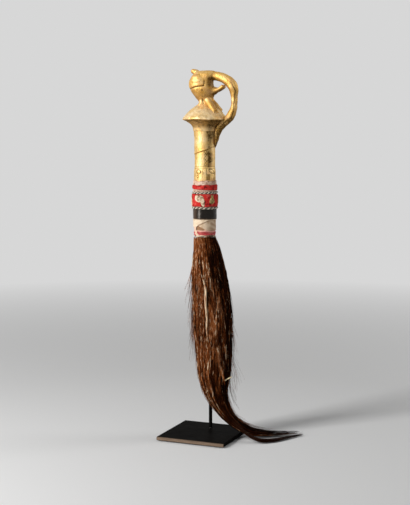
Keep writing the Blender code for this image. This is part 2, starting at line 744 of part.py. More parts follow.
def build_bands(linen, red, pale, dark, handle):
    """The cloth under the bands, the two red bands with their patches and cords, and the leather band."""
    linen_outline = (
        (SHEET_INNER, LINEN_TOP),
        (LINEN_HEM_RADIUS - CLOTH_EDGE, LINEN_TOP),
        (LINEN_HEM_RADIUS, LINEN_TOP - CLOTH_EDGE),
        (LINEN_HEM_RADIUS, LINEN_HEM_LOW),
        (LINEN_RADIUS, LINEN_HEM_LOW),
        (LINEN_RADIUS, LINEN_LOW),
        (SHEET_INNER, LINEN_LOW),
    )
    add_object("linen_wrap", turned("linen_wrap", linen_outline), linen, handle)
    for name, (low, top, radius) in (("red_band_narrow", RED_NARROW), ("red_band_wide", RED_WIDE)):
        outline = sleeve_outline(BAND_INNER, radius, low, top, CLOTH_EDGE)
        add_object(name, turned(name, outline), red, handle)
    inner = RED_WIDE[2] + GAP
    outer = inner + PATCH_THICK
    for number, (degrees, half) in enumerate(PATCHES, 1):
        name = f"patch_{number}"
        plate = arc_plate(name, inner, outer, PATCH_LOW, PATCH_TOP, degrees, half, PATCH_STEPS)
        add_object(name, plate, pale, handle)
    ring = BAND_INNER + CORD_RADIUS
    for name, height in (("cord_upper", CORD_UPPER_Z), ("cord_lower", CORD_LOWER_Z)):
        wound(name, ring, CORD_RADIUS, height, CORD_FALL, ONE_TURN, CORD_KNOT_DEGREES, pale, handle)
    low, top, radius = LEATHER
    leather = turned("leather_band", sleeve_outline(WRAP_INNER, radius, low, top))
    add_object("leather_band", leather, dark, handle)


def build_binding(pale_hide, brown_hide, red, green, handle):
    """The skin at the tail's root, the two hide strips round it and the threads that bind it."""
    hide_outline = (
        (TANG_RADIUS + GAP, HIDE_TOP),
        (HIDE_RADIUS, HIDE_TOP),
        (HIDE_RADIUS, HIDE_NECK_TOP + CLOTH_EDGE),
        (HIDE_NECK_RADIUS, HIDE_NECK_TOP),
        (HIDE_NECK_RADIUS, HIDE_LOW),
        (0, HIDE_LOW),
        (0, TANG_LOW - GAP),
        (TANG_RADIUS + GAP, TANG_LOW - GAP),
    )
    add_object("hide_sleeve", turned("hide_sleeve", hide_outline), brown_hide, handle)
    upper_outline = sleeve_outline(WRAP_INNER, UPPER_WRAP_RADIUS, WRAP_LAP_Z, WRAP_TOP)
    upper = turned("hide_strip_upper", upper_outline)
    slant(upper, WRAP_LAP_Z, WRAP_LAP_SLOPE)
    add_object("hide_strip_upper", upper, pale_hide, handle)
    lower_outline = sleeve_outline(WRAP_INNER, LOWER_WRAP_RADIUS, WRAP_LOW, WRAP_LAP_Z)
    lower = turned("hide_strip_lower", lower_outline)
    slant(lower, WRAP_LAP_Z, WRAP_LAP_SLOPE, -GAP)
    add_object("hide_strip_lower", lower, pale_hide, handle)
    ring = HIDE_NECK_RADIUS + GAP + THREAD_RADIUS
    for name, top, fall, turns, surface in (
        ("thread_red", THREAD_RED_TOP, THREAD_PITCH, THREAD_RED_TURNS, red),
        ("thread_green", THREAD_GREEN_Z, THREAD_RADIUS, ONE_TURN, green),
    ):
        wound(name, ring, THREAD_RADIUS, top, fall, turns, THREAD_KNOT_DEGREES, surface, handle)


def build_tail(hair, pale_hair, handle, tail, pivot):
    """The hair: a skirt of short outer strands on the handle, and the locks of the tail on their hinge."""
    skirt("hair_skirt", hair, handle)
    front = sector_cells(4)
    rim = [cell for cell in front if cell[1][0] == TAIL_RINGS]
    pale_cells = rim[PALE_CELLS]
    locks = {
        "hair_lock_right": sector_cells(5) + sector_cells(0),
        "hair_lock_back": sector_cells(1),
        "hair_lock_left": sector_cells(2) + sector_cells(3),
        "hair_lock_front": [cell for cell in front if cell not in pale_cells],
    }
    for name, cells in locks.items():
        lock(name, cells, SECTOR_SHRINK, hair, tail, pivot)
    lock("hair_lock_pale", pale_cells, PALE_SHRINK, pale_hair, tail, pivot)


def main():
    """Clears the scene and builds the stand, the handle and the tail."""
    for obj in list(bpy.data.objects):
        bpy.data.objects.remove(obj)
    gold = material("gold_sheet", (0.72, 0.50, 0.20), 0.38, 0.9)
    wood = material("core_wood", (0.32, 0.20, 0.11), 0.7)
    linen = material("pale_cloth", (0.72, 0.60, 0.48), 0.85)
    red = material("red_cloth", (0.62, 0.08, 0.07), 0.85)
    cord = material("pale_thread", (0.70, 0.64, 0.50), 0.8)
    green = material("green_thread", (0.12, 0.28, 0.18), 0.8)
    leather = material("black_leather", (0.02, 0.018, 0.016), 0.35)
    pale_hide = material("pale_hide", (0.74, 0.65, 0.52), 0.8)
    brown_hide = material("brown_hide", (0.24, 0.13, 0.07), 0.75)
    hair = material("brown_hair", (0.10, 0.045, 0.025), 0.5)
    pale_hair = material("pale_hair", (0.55, 0.38, 0.24), 0.5)
    steel = material("black_steel", (0.02, 0.019, 0.018), 0.4, 0.6)
    bright = material("screw_steel", (0.45, 0.44, 0.43), 0.35, 1.0)
    felt = material("grey_felt", (0.06, 0.06, 0.06), 0.95)

    build_plate(steel, felt)
    build_post(steel, bright)
    build_saddle(steel, felt)
    handle = add_empty("handle", (0, AXIS_Y, 0))
    build_shaft(gold, wood, handle)
    build_finial(gold, handle)
    build_bands(linen, red, cord, leather, handle)
    build_binding(pale_hide, brown_hide, red, green, handle)
    pivot = Vector((0, 0, TAIL_STATIONS[0][1]))
    tail = add_empty("tail", pivot, handle)
    build_tail(hair, pale_hair, handle, tail, pivot)


main()
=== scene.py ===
"""Looks of a fly whisk on its display stand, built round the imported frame.

The handle is carved wood under thin gold sheet: a small elephant whose trunk arches down past a mushroom
collar to the shaft. Below the gold come cloth, cords, a leather band, hide and thread, and then the long tail
of hair, which sweeps to one side. Lengths are in metres and angles in radians, in the frame's own axes.
"""

import logging
import math
from collections.abc import Callable
from dataclasses import dataclass, field
from enum import Enum

import bpy
import numpy as np
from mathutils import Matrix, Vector


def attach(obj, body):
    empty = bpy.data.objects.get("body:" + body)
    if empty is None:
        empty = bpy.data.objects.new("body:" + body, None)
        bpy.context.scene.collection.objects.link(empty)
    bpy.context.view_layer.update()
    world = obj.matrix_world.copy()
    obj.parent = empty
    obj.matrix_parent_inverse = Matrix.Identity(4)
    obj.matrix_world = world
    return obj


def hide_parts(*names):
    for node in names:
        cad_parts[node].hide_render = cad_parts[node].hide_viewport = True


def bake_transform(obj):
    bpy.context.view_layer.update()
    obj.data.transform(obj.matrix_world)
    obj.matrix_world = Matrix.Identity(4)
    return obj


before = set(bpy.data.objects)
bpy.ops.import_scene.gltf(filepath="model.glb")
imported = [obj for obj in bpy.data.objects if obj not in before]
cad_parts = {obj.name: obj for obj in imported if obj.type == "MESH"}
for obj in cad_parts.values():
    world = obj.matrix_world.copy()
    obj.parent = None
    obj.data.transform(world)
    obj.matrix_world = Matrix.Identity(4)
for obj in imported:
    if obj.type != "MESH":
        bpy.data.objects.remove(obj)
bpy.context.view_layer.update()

log = logging.getLogger("fly_whisk")
Array = np.ndarray
Colour = tuple[float, float, float]
Triple = tuple[float, float, float]
Pair = tuple[float, float]
Rows = tuple[tuple[float, ...], ...]

# The handle stands behind the plate's middle, the tail sweeps away from it, and FRONT faces the camera.
AXIS = np.array((0.0, 0.0045, 0.0))
UP = np.array((0.0, 0.0, 1.0))
DEPTH = np.array((0.0, 1.0, 0.0))
SWEEP_TURN = math.radians(22.6)
SWEEP = np.array((math.cos(SWEEP_TURN), math.sin(SWEEP_TURN), 0.0))
ACROSS = np.array((-math.sin(SWEEP_TURN), math.cos(SWEEP_TURN), 0.0))
FRONT = math.radians(-67.4)
POST_PLACE = np.array((0.0, 0.026, 0.0))
MILLIMETRES = 1000


class Body(Enum):
    """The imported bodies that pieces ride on."""

    STAND = "stand"
    HANDLE = "handle"
    TAIL = "tail"


class Slot(Enum):
    """The record's material slots."""

    STEEL = "black_steel"
    SCREW = "screw_steel"
    FELT = "grey_felt"
    WOOD = "core_wood"
    GILT = "gilt_wood"
    GOLD = "gold_sheet"
    PALE_CLOTH = "pale_cloth"
    RED_CLOTH = "red_cloth"
    PALE_THREAD = "pale_thread"
    GREEN_THREAD = "green_thread"
    LEATHER = "black_leather"
    PALE_HIDE = "pale_hide"
    BROWN_HIDE = "brown_hide"
    BROWN_HAIR = "brown_hair"
    PALE_HAIR = "pale_hair"


class Motif(Enum):
    """The two cut cloth shapes on the wide red band."""

    FIGURE = "figure"
    BELL = "bell"


# Each motif's outline in millimetres from its middle, and its dark spots: across, up and radius in metres.
OUTLINES: dict[Motif, Rows] = {
    Motif.FIGURE: (
        (-7.6, 5.6), (-1.0, 6.4), (3.6, 5.5), (6.3, 1.0), (6.8, -5.0), (6.2, -9.0), (3.9, -9.2),
        (2.2, -6.6), (1.8, -3.4), (-1.6, -3.4), (-5.0, -2.2), (-8.4, 1.0),
    ),
    Motif.BELL: (
        (-1.6, 6.3), (1.8, 6.1), (2.6, 2.8), (4.2, -0.8), (4.4, -3.4), (1.4, -5.4), (-1.6, -5.6),
        (-4.0, -3.4), (-3.6, 0.2), (-2.0, 3.0),
    ),
}
SPOTS: dict[Motif, Rows] = {
    Motif.FIGURE: ((0.0036, -0.0016, 0.0008),),
    Motif.BELL: ((-0.0026, -0.0010, 0.0012), (0.0026, -0.0010, 0.0012)),
}


def mix(first: Array | float, second: Array | float, share: Array | float) -> Array:
    """first moved to second by share, from 0 to 1."""
    return first + (second - first) * share


def ease(value: Array | float, low: float, high: float) -> Array:
    """0 below low, 1 above high and 3t^2 - 2t^3 between them; low may be the larger."""
    share = np.clip((np.asarray(value, float) - low) / (high - low), 0, 1)
    return share * share * (3 - 2 * share)


def within(value: Array, low: float, full: float, after: float, high: float) -> Array:
    """0 below low and above high, 1 from full to after, eased between them."""
    return ease(value, low, full) * ease(value, high, after)


def hump(distance: Array, width: float) -> Array:
    """exp(-(distance / width)^2), a soft ridge of height 1."""
    return np.exp(-((distance / width) ** 2))


def share_of(values: Array) -> Array:
    """values, kept from 0 to 1."""
    return np.clip(values, 0, 1)


def unit(vectors: Array) -> Array:
    """Vectors divided by their lengths."""
    return vectors / np.maximum(np.linalg.norm(vectors, axis=-1, keepdims=True), 1e-12)


def squarer(wave: Array, power: float) -> Array:
    """|wave|^power with the wave's sign, which makes an oval squarer where power is under 1."""
    return np.sign(wave) * np.abs(wave) ** power


def turns(count: int, first: float = 0.0) -> Array:
    """Even angles once round from the first."""
    return np.linspace(first, first + math.tau, count, endpoint=False)


def outward(turn: Array) -> Array:
    """Level unit vectors at these angles."""
    return np.stack([np.cos(turn), np.sin(turn), 0 * turn], -1)


def barrel(radius: Array, height: Array, turn: Array) -> Array:
    """Points at a radius, a height and an angle round the upright axis through 0."""
    return np.stack(np.broadcast_arrays(radius * np.cos(turn), radius * np.sin(turn), height), -1)


def around(radius: Array, height: Array, turn: Array) -> Array:
    """Points at a radius, a height and an angle round the handle's axis."""
    return AXIS + barrel(radius, height, turn)


def gap_between(turn: Array, middle: float) -> Array:
    """The angle from middle to turn, from -pi to pi."""
    return (turn - middle + math.pi) % math.tau - math.pi


def from_front(turn: Array) -> Array:
    """The angle from the front in degrees, above 0 on the right."""
    return np.degrees(gap_between(turn, FRONT))


def rightward(turn: Array) -> Array:
    """1 on the right of the front, -1 on its left."""
    return np.cos(turn - FRONT - math.pi / 2)


def between(rows: Array, place: Array) -> Array:
    """Rows of numbers read at places with fractions, on straight lines from one row to the next."""
    low = np.clip(place.astype(int), 0, len(rows) - 2)
    return mix(rows[low], rows[low + 1], (place - low)[..., None])


def spline(knots: object, samples: int) -> Array:
    """A smooth curve through rows of numbers, evenly spaced in knots.

    Between two knots it is the cubic whose slope at each is half the step between that knot's neighbours.

    Args:
        knots: Rows of numbers, one row for each knot.
        samples: How many rows to return.

    Returns:
        The curve's rows.
    """
    rows = np.asarray(knots, float)
    place = np.linspace(0, len(rows) - 1, samples)
    first = np.clip(place.astype(int), 0, len(rows) - 2)
    share = (place - first)[:, None]
    padded = np.vstack([2 * rows[:1] - rows[1:2], rows, 2 * rows[-1:] - rows[-2:-1]])
    a, b, c, d = (padded[first + step] for step in range(4))
    slope, bend, twist = c - a, 2 * a - 5 * b + 4 * c - d, 3 * (b - c) + d - a
    return 0.5 * (2 * b + slope * share + bend * share**2 + twist * share**3)


def ripple(points: Array, seed: int, longest: float, shortest: float) -> Array:
    """An uneven field, from about -1 to 1: the mean of 18 sine waves of random direction, phase and length.

    Args:
        points: Places, in any number of axes and dimensions.
        seed: Which set of waves.
        longest: The longest wave.
        shortest: The shortest wave.

    Returns:
        One number for each place.
    """
    waves, chance = 18, np.random.default_rng(seed)
    lengths = np.exp(chance.uniform(math.log(shortest), math.log(longest), waves))
    ways = unit(chance.normal(size=(waves, points.shape[-1]))) * (math.tau / lengths)[:, None]
    phases = chance.uniform(0, math.tau, waves)
    total = np.zeros(points.shape[:-1])
    for way, phase in zip(ways, phases):
        total += np.sin(points @ way + phase)
    return total * math.sqrt(2 / waves) / 2


@dataclass
class Shell:
    """Closed surfaces: points, faces of four and three corners, each corner's place on a flat chart in
    millimetres, and the numbers that a finish reads at each point."""

    points: Array
    quads: Array
    triangles: Array
    chart: Array
    values: dict[str, Array] = field(default_factory=dict)

    def mesh(self, name: str) -> bpy.types.Mesh:
        """The shell as a smooth-shaded mesh.

        Args:
            name: The mesh's name.

        Returns:
            The mesh, with the chart as its UV map and each set of values as a point attribute.
        """
        mesh = bpy.data.meshes.new(name)
        corners = np.concatenate([self.quads.ravel(), self.triangles.ravel()]).astype(np.int32)
        four, three = len(self.quads), len(self.triangles)
        starts = np.concatenate([np.arange(four) * 4, four * 4 + np.arange(three) * 3]).astype(np.int32)
        mesh.vertices.add(len(self.points))
        mesh.loops.add(len(corners))
        mesh.loops.foreach_set("vertex_index", corners)
        mesh.polygons.add(len(starts))
        mesh.polygons.foreach_set("loop_start", starts)
        mesh.update(calc_edges=True)
        mesh.uv_layers.new(name="chart").data.foreach_set("uv", self.chart.astype(np.float32).ravel())
        write(mesh, self.points, **self.values)
        return mesh


def joined(shells: list[Shell]) -> Shell:
    """Several shells as one.

    Args:
        shells: Shells that all have the first one's sets of values.

    Returns:
        The shell of them all.
    """
    starts = np.cumsum([0, *(len(shell.points) for shell in shells[:-1])])
    quads = np.vstack([shell.quads + start for shell, start in zip(shells, starts)])
    triangles = np.vstack([shell.triangles + start for shell, start in zip(shells, starts)])
    charts = [shell.chart[: shell.quads.size] for shell in shells]
    charts += [shell.chart[shell.quads.size :] for shell in shells]
    values = {key: np.concatenate([shell.values[key] for shell in shells]) for key in shells[0].values}
    return Shell(np.vstack([shell.points for shell in shells]), quads, triangles, np.vstack(charts), values)


def skin(points: Array, size: Pair = (1.0, 1.0), poles: tuple = (None, None), **values: Array) -> Shell:
    """A closed skin over a grid of points whose columns run round and close.

    Face (i, j) joins point (i, j), (i, j + 1), (i + 1, j + 1) and (i + 1, j). Without poles the rows close
    too, as on a ring. A pole closes the first or last row to a point.

    Args:
        points: The grid, rows by columns by three.
        size: Length round and length along, in millimetres, for the flat chart.
        poles: The points that close the first and the last row, or None.
        values: Numbers for the finish, rows by columns.

    Returns:
        The shell.
    """
    rows, columns = points.shape[:2]
    last = rows if all(pole is None for pole in poles) else rows - 1
    i, j = np.meshgrid(np.arange(last), np.arange(columns), indexing="ij")
    low, high, after = i * columns, (i + 1) % rows * columns, (j + 1) % columns
    quads = np.stack([low + j, low + after, high + after, high + j], -1).reshape(-1, 4)
    across = np.stack([j, j + 1, j + 1, j], -1) * (size[0] / columns)
    along = np.stack([i, i, i + 1, i + 1], -1) * (size[1] / last)
    chart = [np.stack([across, along], -1).reshape(-1, 2)]
    spots, fans, numbers = [points.reshape(-1, 3)], [], {key: [grid.ravel()] for key, grid in values.items()}
    for pole, row in zip(poles, (0, rows - 1)):
        if pole is None:
            continue
        column = np.arange(columns)
        here, there = row * columns + column, row * columns + (column + 1) % columns
        tip = np.full(columns, rows * columns + len(spots) - 1)
        fans.append(np.stack([tip, there, here] if row == 0 else [here, there, tip], -1))
        flat = np.stack([column * size[0] / columns, np.full(columns, row * size[1] / last)], -1)
        chart.append(np.repeat(flat, 3, axis=0))
        spots.append(np.asarray(pole, float)[None])
        for key, grid in values.items():
            numbers[key].append(grid[row].mean(keepdims=True))
    triangles = np.vstack(fans) if fans else np.zeros((0, 3), int)
    merged = {key: np.concatenate(parts) for key, parts in numbers.items()}
    return Shell(np.vstack(spots), quads, triangles, np.vstack(chart), merged)


def bar(line: Array, radii: Array, sides: int, reference: Array, flat: float = 1.0) -> Shell:
    """A round bar along a line: line(t) + r(t) (flat cos a u(t) + sin a v(t)), with u along the reference.

    Args:
        line: The middle line, count by three.
        radii: Its radius at each point.
        sides: Points round the bar.
        reference: The direction that u keeps to.
        flat: The radius along u as a share of the radius along v.

    Returns:
        The bar, with drawn-in ends.
    """
    forward = unit(np.gradient(line, axis=0))
    first = unit(reference - (forward @ reference)[:, None] * forward)
    second = np.cross(forward, first)
    turn = turns(sides)[None, :, None]
    ring = flat * np.cos(turn) * first[:, None] + np.sin(turn) * second[:, None]
    ends = (line[0] - forward[0] * radii[0] * 0.5, line[-1] + forward[-1] * radii[-1] * 0.5)
    return skin(line[:, None] + radii[:, None, None] * ring, poles=ends)


class Nodes:
    """A material's node tree, with a short method for each kind of node."""

    def __init__(self, name: str, **sockets: object) -> None:
        """Start a material whose Principled shader has these values.

        Args:
            name: The material's name.
            sockets: Shader sockets by name, with _ for a space.
        """
        self.material = bpy.data.materials.new(name)
        self.material.use_nodes = True
        self.tree = self.material.node_tree
        self.shader = self.tree.nodes["Principled BSDF"]
        self.wear(**sockets)

    def wear(self, **sockets: object) -> None:
        """Set the shader's sockets, or link nodes to them."""
        for key, value in sockets.items():
            self.put(value, self.shader.inputs[key.replace("_", " ")])

    def put(self, value: object, socket: bpy.types.NodeSocket) -> None:
        """Link a value to a socket where the value is a socket itself, or else set it.

        Args:
            value: A socket, a number, a colour or a vector.
            socket: Where it goes.
        """
        if isinstance(value, bpy.types.NodeSocket):
            self.tree.links.new(value, socket)
        elif isinstance(value, tuple) and len(value) == 3 and socket.type == "RGBA":
            socket.default_value = (*value, 1)
        else:
            socket.default_value = value

    def add(self, kind: str, inputs: dict, **settings: object) -> bpy.types.Node:
        """A new node.

        Args:
            kind: Its type.
            inputs: What goes into its sockets, by name or number.
            settings: Its own settings.

        Returns:
            The node.
        """
        node = self.tree.nodes.new(kind)
        for key, value in settings.items():
            setattr(node, key, value)
        for key, value in inputs.items():
            self.put(value, node.inputs[key])
        return node

    def place(self, stretch: Triple = (1, 1, 1)) -> bpy.types.NodeSocket:
        """Object coordinates, scaled along each axis."""
        source = self.add("ShaderNodeTexCoord", {}).outputs["Object"]
        return self.add("ShaderNodeMapping", {"Vector": source, "Scale": stretch}).outputs[0]

    def parts(self, vector: object) -> bpy.types.bpy_prop_collection:
        """A vector's three numbers."""
        return self.add("ShaderNodeSeparateXYZ", {0: vector}).outputs

    def facing(self) -> bpy.types.bpy_prop_collection:
        """The three numbers of the direction that the surface faces."""
        return self.parts(self.add("ShaderNodeNewGeometry", {}).outputs["Normal"])

    def noise(self, scale: float, detail: float = 3, stretch: Triple = (1, 1, 1)) -> bpy.types.NodeSocket:
        """Fractal noise in object coordinates, with about scale cells to the metre."""
        inputs = {"Vector": self.place(stretch), "Scale": scale, "Detail": detail}
        return self.add("ShaderNodeTexNoise", inputs).outputs[0]

    def value(self, name: str) -> bpy.types.NodeSocket:
        """A point attribute of the piece."""
        return self.add("ShaderNodeAttribute", {}, attribute_name=name).outputs["Fac"]

    def sums(self, operation: str, first: object, second: object = 0.0, clamp: bool = False) -> object:
        """One sum of two numbers, kept from 0 to 1 where clamp is set."""
        node = self.add("ShaderNodeMath", {0: first, 1: second}, operation=operation, use_clamp=clamp)
        return node.outputs[0]

    def times(self, first: object, second: object) -> bpy.types.NodeSocket:
        """The product of two numbers, kept from 0 to 1."""
        return self.sums("MULTIPLY", first, second, clamp=True)

    def ramp(self, share: object, stops: dict[float, Colour]) -> bpy.types.NodeSocket:
        """A colour ramp.

        Args:
            share: The place on the ramp.
            stops: Colours by their places.

        Returns:
            The colour.
        """
        node = self.add("ShaderNodeValToRGB", {0: share})
        elements = node.color_ramp.elements
        while len(elements) < len(stops):
            elements.new(0.5)
        for element, (spot, colour) in zip(elements, sorted(stops.items())):
            element.position = spot
            element.color = (*colour, 1)
        return node.outputs[0]

    def span(self, share: object, low: float, high: float, least: float, most: float) -> bpy.types.NodeSocket:
        """share from low to high, drawn out to least to most."""
        return self.add("ShaderNodeMapRange", {0: share, 1: low, 2: high, 3: least, 4: most}).outputs[0]

    def blend(self, share: object, first: object, second: object) -> bpy.types.NodeSocket:
        """A colour between two."""
        return self.add("ShaderNodeMix", {0: share, 6: first, 7: second}, data_type="RGBA").outputs[2]

    def weave(self, across: float, along: float) -> bpy.types.NodeSocket:
        """Plain weave: the product of a sine of the chart's place for each thread direction.

        Args:
            across: The width of the threads that run along, in millimetres.
            along: The width of the threads that run across.

        Returns:
            The height, from -1 to 1.
        """
        chart = self.parts(self.add("ShaderNodeUVMap", {}, uv_map="chart").outputs[0])
        waves = []
        for output, width in zip(chart, (across, along)):
            waves.append(self.sums("SINE", self.sums("MULTIPLY", output, math.pi / width)))
        return self.sums("MULTIPLY", *waves)

    def bump(self, height: object, distance: float, strength: float, under: object = None) -> object:
        """A bump.

        Args:
            height: Its height as a share of the distance.
            distance: Its greatest height in metres.
            strength: How far it turns the surface, from 0 to 1.
            under: A bump that it lies on.

        Returns:
            The surface's direction.
        """
        inputs = {"Height": height, "Distance": distance, "Strength": strength}
        if under is not None:
            inputs["Normal"] = under
        return self.add("ShaderNodeBump", inputs).outputs[0]


def dimmed(colour: Colour, red: float, green: float | None = None, blue: float | None = None) -> Colour:
    """A colour whose parts are each taken times a share; the red one's serves where no other is given."""
    return colour[0] * red, colour[1] * (green or red), colour[2] * (blue or red)


@dataclass(frozen=True)
class Finish:
    """A surface that pieces are dressed in: its name, its record slot and its main colour."""

    name: str
    slot: Slot
    colour: Colour

    def nodes(self) -> Nodes:
        """The plain finish: its colour with slight mottling.

        Returns:
            The node tree.
        """
        nodes = Nodes(self.name, Roughness=0.6)
        tone = nodes.ramp(nodes.noise(220), {0.35: dimmed(self.colour, 0.7), 0.65: self.colour})
        nodes.wear(Base_Color=tone)
        return nodes

    def material(self) -> bpy.types.Material:
        """The finish's material, made once."""
        return bpy.data.materials.get(self.name) or self.nodes().material


@dataclass(frozen=True)
class GoldLeaf(Finish):
    """Thin gold sheet: paler where rubbed, brown with soiling and painted shade in its hollows, and a richer
    painted shade where it faces down.
    """

    deep: Colour = (0.46, 0.21, 0.022)
    rubbed: Colour = (0.95, 0.72, 0.42)
    bole: Colour = (0.70, 0.36, 0.17)
    painted_shade_gold: Colour = (0.50, 0.215, 0.020)
    dirt_and_shade: Colour = (0.075, 0.034, 0.003)
    metal: float = 0.55

    def nodes(self) -> Nodes:
        """Tone from two sizes of noise, painted shade on what faces down, and crumples of two sizes.

        The wear values bring out the bole under the gold, and the soiling and painted shade values lay a dark
        tone on it, rougher and less metallic.

        Returns:
            The node tree.
        """
        nodes = Nodes(self.name, IOR=1.5, Specular_Tint=(1.0, 0.80, 0.42))
        broad, fine = nodes.noise(75), nodes.noise(420, 4)
        tone = nodes.ramp(broad, {0.28: self.deep, 0.46: self.colour, 0.66: self.rubbed})
        speck = nodes.ramp(fine, {0.26: self.deep, 0.50: self.colour, 0.72: self.rubbed})
        hollow = nodes.times(nodes.value("hollow"), nodes.span(fine, 0.3, 0.7, 0.55, 1.25))
        worn = nodes.times(nodes.value("worn"), nodes.span(broad, 0.3, 0.6, 0.6, 1.2))
        tone = nodes.blend(worn, nodes.blend(0.42, tone, speck), self.bole)
        # Painted shade: a richer, deeper gold where the surface faces down.
        painted_underside_shade = nodes.span(nodes.facing()[2], -0.70, 0.12, 0.70, 0)
        tone = nodes.blend(hollow, nodes.blend(painted_underside_shade, tone, self.painted_shade_gold), self.dirt_and_shade)
        metal = self.metal
        for cover, share in ((hollow, 0.20), (worn, 0.3)):
            metal = nodes.sums("SUBTRACT", metal, nodes.sums("MULTIPLY", cover, share), clamp=True)
        rough = nodes.span(fine, 0.3, 0.7, 0.38, 0.54)
        rough = nodes.sums("ADD", rough, nodes.sums("MULTIPLY", hollow, 0.25))
        crumple = nodes.noise(520, 5, (1, 1, 0.45))
        normal = nodes.bump(crumple, 0.00020, 0.7, nodes.bump(nodes.noise(140, 2), 0.0005, 0.5))
        nodes.wear(Base_Color=tone, Metallic=metal, Roughness=rough, Normal=normal)
        return nodes


@dataclass(frozen=True)
class Cloth(Finish):
    """Woven cloth of threads of one width in millimetres, darker with soiling and painted shade, paler where
    fibres stand.
    """

    soil_and_shade: Colour = (0.20, 0.012, 0.012)
    faded: Colour = (0.86, 0.16, 0.13)
    thread: float = 0.36

    def nodes(self) -> Nodes:
        """Tone from noise, the weave and its fuzz, with soiling and painted shade from their values.

        Returns:
            The node tree.
        """
        nodes = Nodes(self.name, Roughness=0.9, Specular_IOR_Level=0.15, Sheen_Weight=0.06)
        weave, broad = nodes.weave(self.thread, self.thread * 1.1), nodes.noise(230)
        fuzz = nodes.noise(1500, 2)
        tone = nodes.ramp(broad, {0.34: self.soil_and_shade, 0.46: self.colour, 0.57: self.colour, 0.70: self.faded})
        tone = nodes.blend(nodes.span(weave, -1, 1, 0.32, 0), tone, self.soil_and_shade)
        tone = nodes.blend(nodes.span(fuzz, 0.52, 0.72, 0, 0.22), tone, self.faded)
        tone = nodes.blend(nodes.times(nodes.value("hollow"), 0.8), tone, self.soil_and_shade)
        normal = nodes.bump(weave, 0.00012, 0.8, nodes.bump(fuzz, 0.0002, 0.5))
        nodes.wear(Base_Color=tone, Sheen_Tint=self.faded, Normal=normal)
        return nodes


@dataclass(frozen=True)
class Cord(Finish):
    """Twisted thread whose plies alternate between two colours."""

    other: Colour = (0.012, 0.02, 0.014)

    def nodes(self) -> Nodes:
        """Tone from the ply values, with fibres that run along the twist and are darker in patches.

        Returns:
            The node tree.
        """
        nodes = Nodes(self.name, Roughness=0.8, Sheen_Weight=0.25)
        tone = nodes.ramp(nodes.value("ply"), {0.48: self.colour, 0.52: self.other})
        fibre = nodes.weave(0.16, 2.4)
        patch = nodes.span(nodes.noise(420), 0.3, 0.7, 0.4, 0)
        patch = nodes.sums("MULTIPLY", patch, nodes.span(fibre, -1, 1, 1, 0.5))
        tone = nodes.blend(patch, tone, dimmed(self.colour, 0.35))
        nodes.wear(Base_Color=tone, Normal=nodes.bump(fibre, 0.00008, 0.7))
        return nodes


@dataclass(frozen=True)
class Leather(Finish):
    """Polished leather, with fine grain, faint scuffs, brown edges and painted light down the left side."""

    edge: Colour = (0.10, 0.055, 0.03)
    scuffed: Colour = (0.013, 0.010, 0.008)

    def nodes(self) -> Nodes:
        """Grain from cells, scuffs from noise drawn out upwards, and brown for wear and painted light.

        Returns:
            The node tree.
        """
        nodes = Nodes(self.name, Specular_IOR_Level=0.26, Specular_Tint=(1.0, 0.90, 0.80))
        grain = nodes.add("ShaderNodeTexVoronoi", {"Vector": nodes.place(), "Scale": 1300.0}).outputs[0]
        scuff = nodes.noise(240, 5, (1, 1, 0.3))
        tone = nodes.blend(nodes.value("worn"), self.colour, self.edge)
        tone = nodes.blend(nodes.span(scuff, 0.55, 0.75, 0, 0.5), tone, self.scuffed)
        normal = nodes.bump(grain, 0.00005, 0.5, nodes.bump(scuff, 0.0002, 0.4))
        nodes.wear(Base_Color=tone, Roughness=nodes.span(scuff, 0.35, 0.7, 0.17, 0.30), Normal=normal)
        return nodes


@dataclass(frozen=True)
class Hide(Finish):
    """Dry hide, with stains, fine creases and brown patches of stains and of painted shade."""

    stain: Colour = (0.26, 0.125, 0.05)

    def nodes(self) -> Nodes:
        """Tone from broad and fine noise, with brown patches of stains and painted shade from their values.

        Returns:
            The node tree.
        """
        nodes = Nodes(self.name, Roughness=0.62, Specular_IOR_Level=0.4)
        broad, fine = nodes.noise(170, 4), nodes.noise(900, 4, (1, 1, 2.2))
        dull = dimmed(self.colour, 0.62, 0.52, 0.42)
        tone = nodes.ramp(broad, {0.30: dull, 0.52: self.colour})
        tone = nodes.blend(nodes.span(fine, 0.5, 0.75, 0, 0.45), tone, dull)
        patch = nodes.times(nodes.value("stain"), nodes.span(broad, 0.25, 0.5, 0.6, 1.1))
        normal = nodes.bump(fine, 0.0003, 0.6, nodes.bump(broad, 0.0008, 0.5))
        nodes.wear(Base_Color=nodes.blend(patch, tone, self.stain), Normal=normal)
        return nodes


@dataclass(frozen=True)
class Hair(Finish):
    """Coarse hair, from nearly black through red-brown to tan and cream, by each strand's tint."""

    black: Colour = (0.0036, 0.0010, 0.0005)
    brown: Colour = (0.030, 0.0058, 0.0012)
    tan: Colour = (0.45, 0.155, 0.048)
    cream: Colour = (0.95, 0.74, 0.50)

    def nodes(self) -> Nodes:
        """Tone from the tint values and a noise drawn out along the hair, which breaks its satin gloss too.

        Returns:
            The node tree.
        """
        nodes = Nodes(self.name, Roughness=0.36, Specular_IOR_Level=0.05, Specular_Tint=(1.0, 0.66, 0.42))
        stops = {0.05: self.black, 0.32: self.brown, 0.52: self.colour, 0.74: self.tan, 0.95: self.cream}
        streak = nodes.noise(760, 2, (1, 1, 0.16))
        share = nodes.sums("MULTIPLY", nodes.value("tint"), nodes.span(streak, 0.32, 0.68, 0.68, 1.30))
        nodes.wear(Base_Color=nodes.ramp(share, stops), Normal=nodes.bump(streak, 0.0006, 0.8))
        return nodes


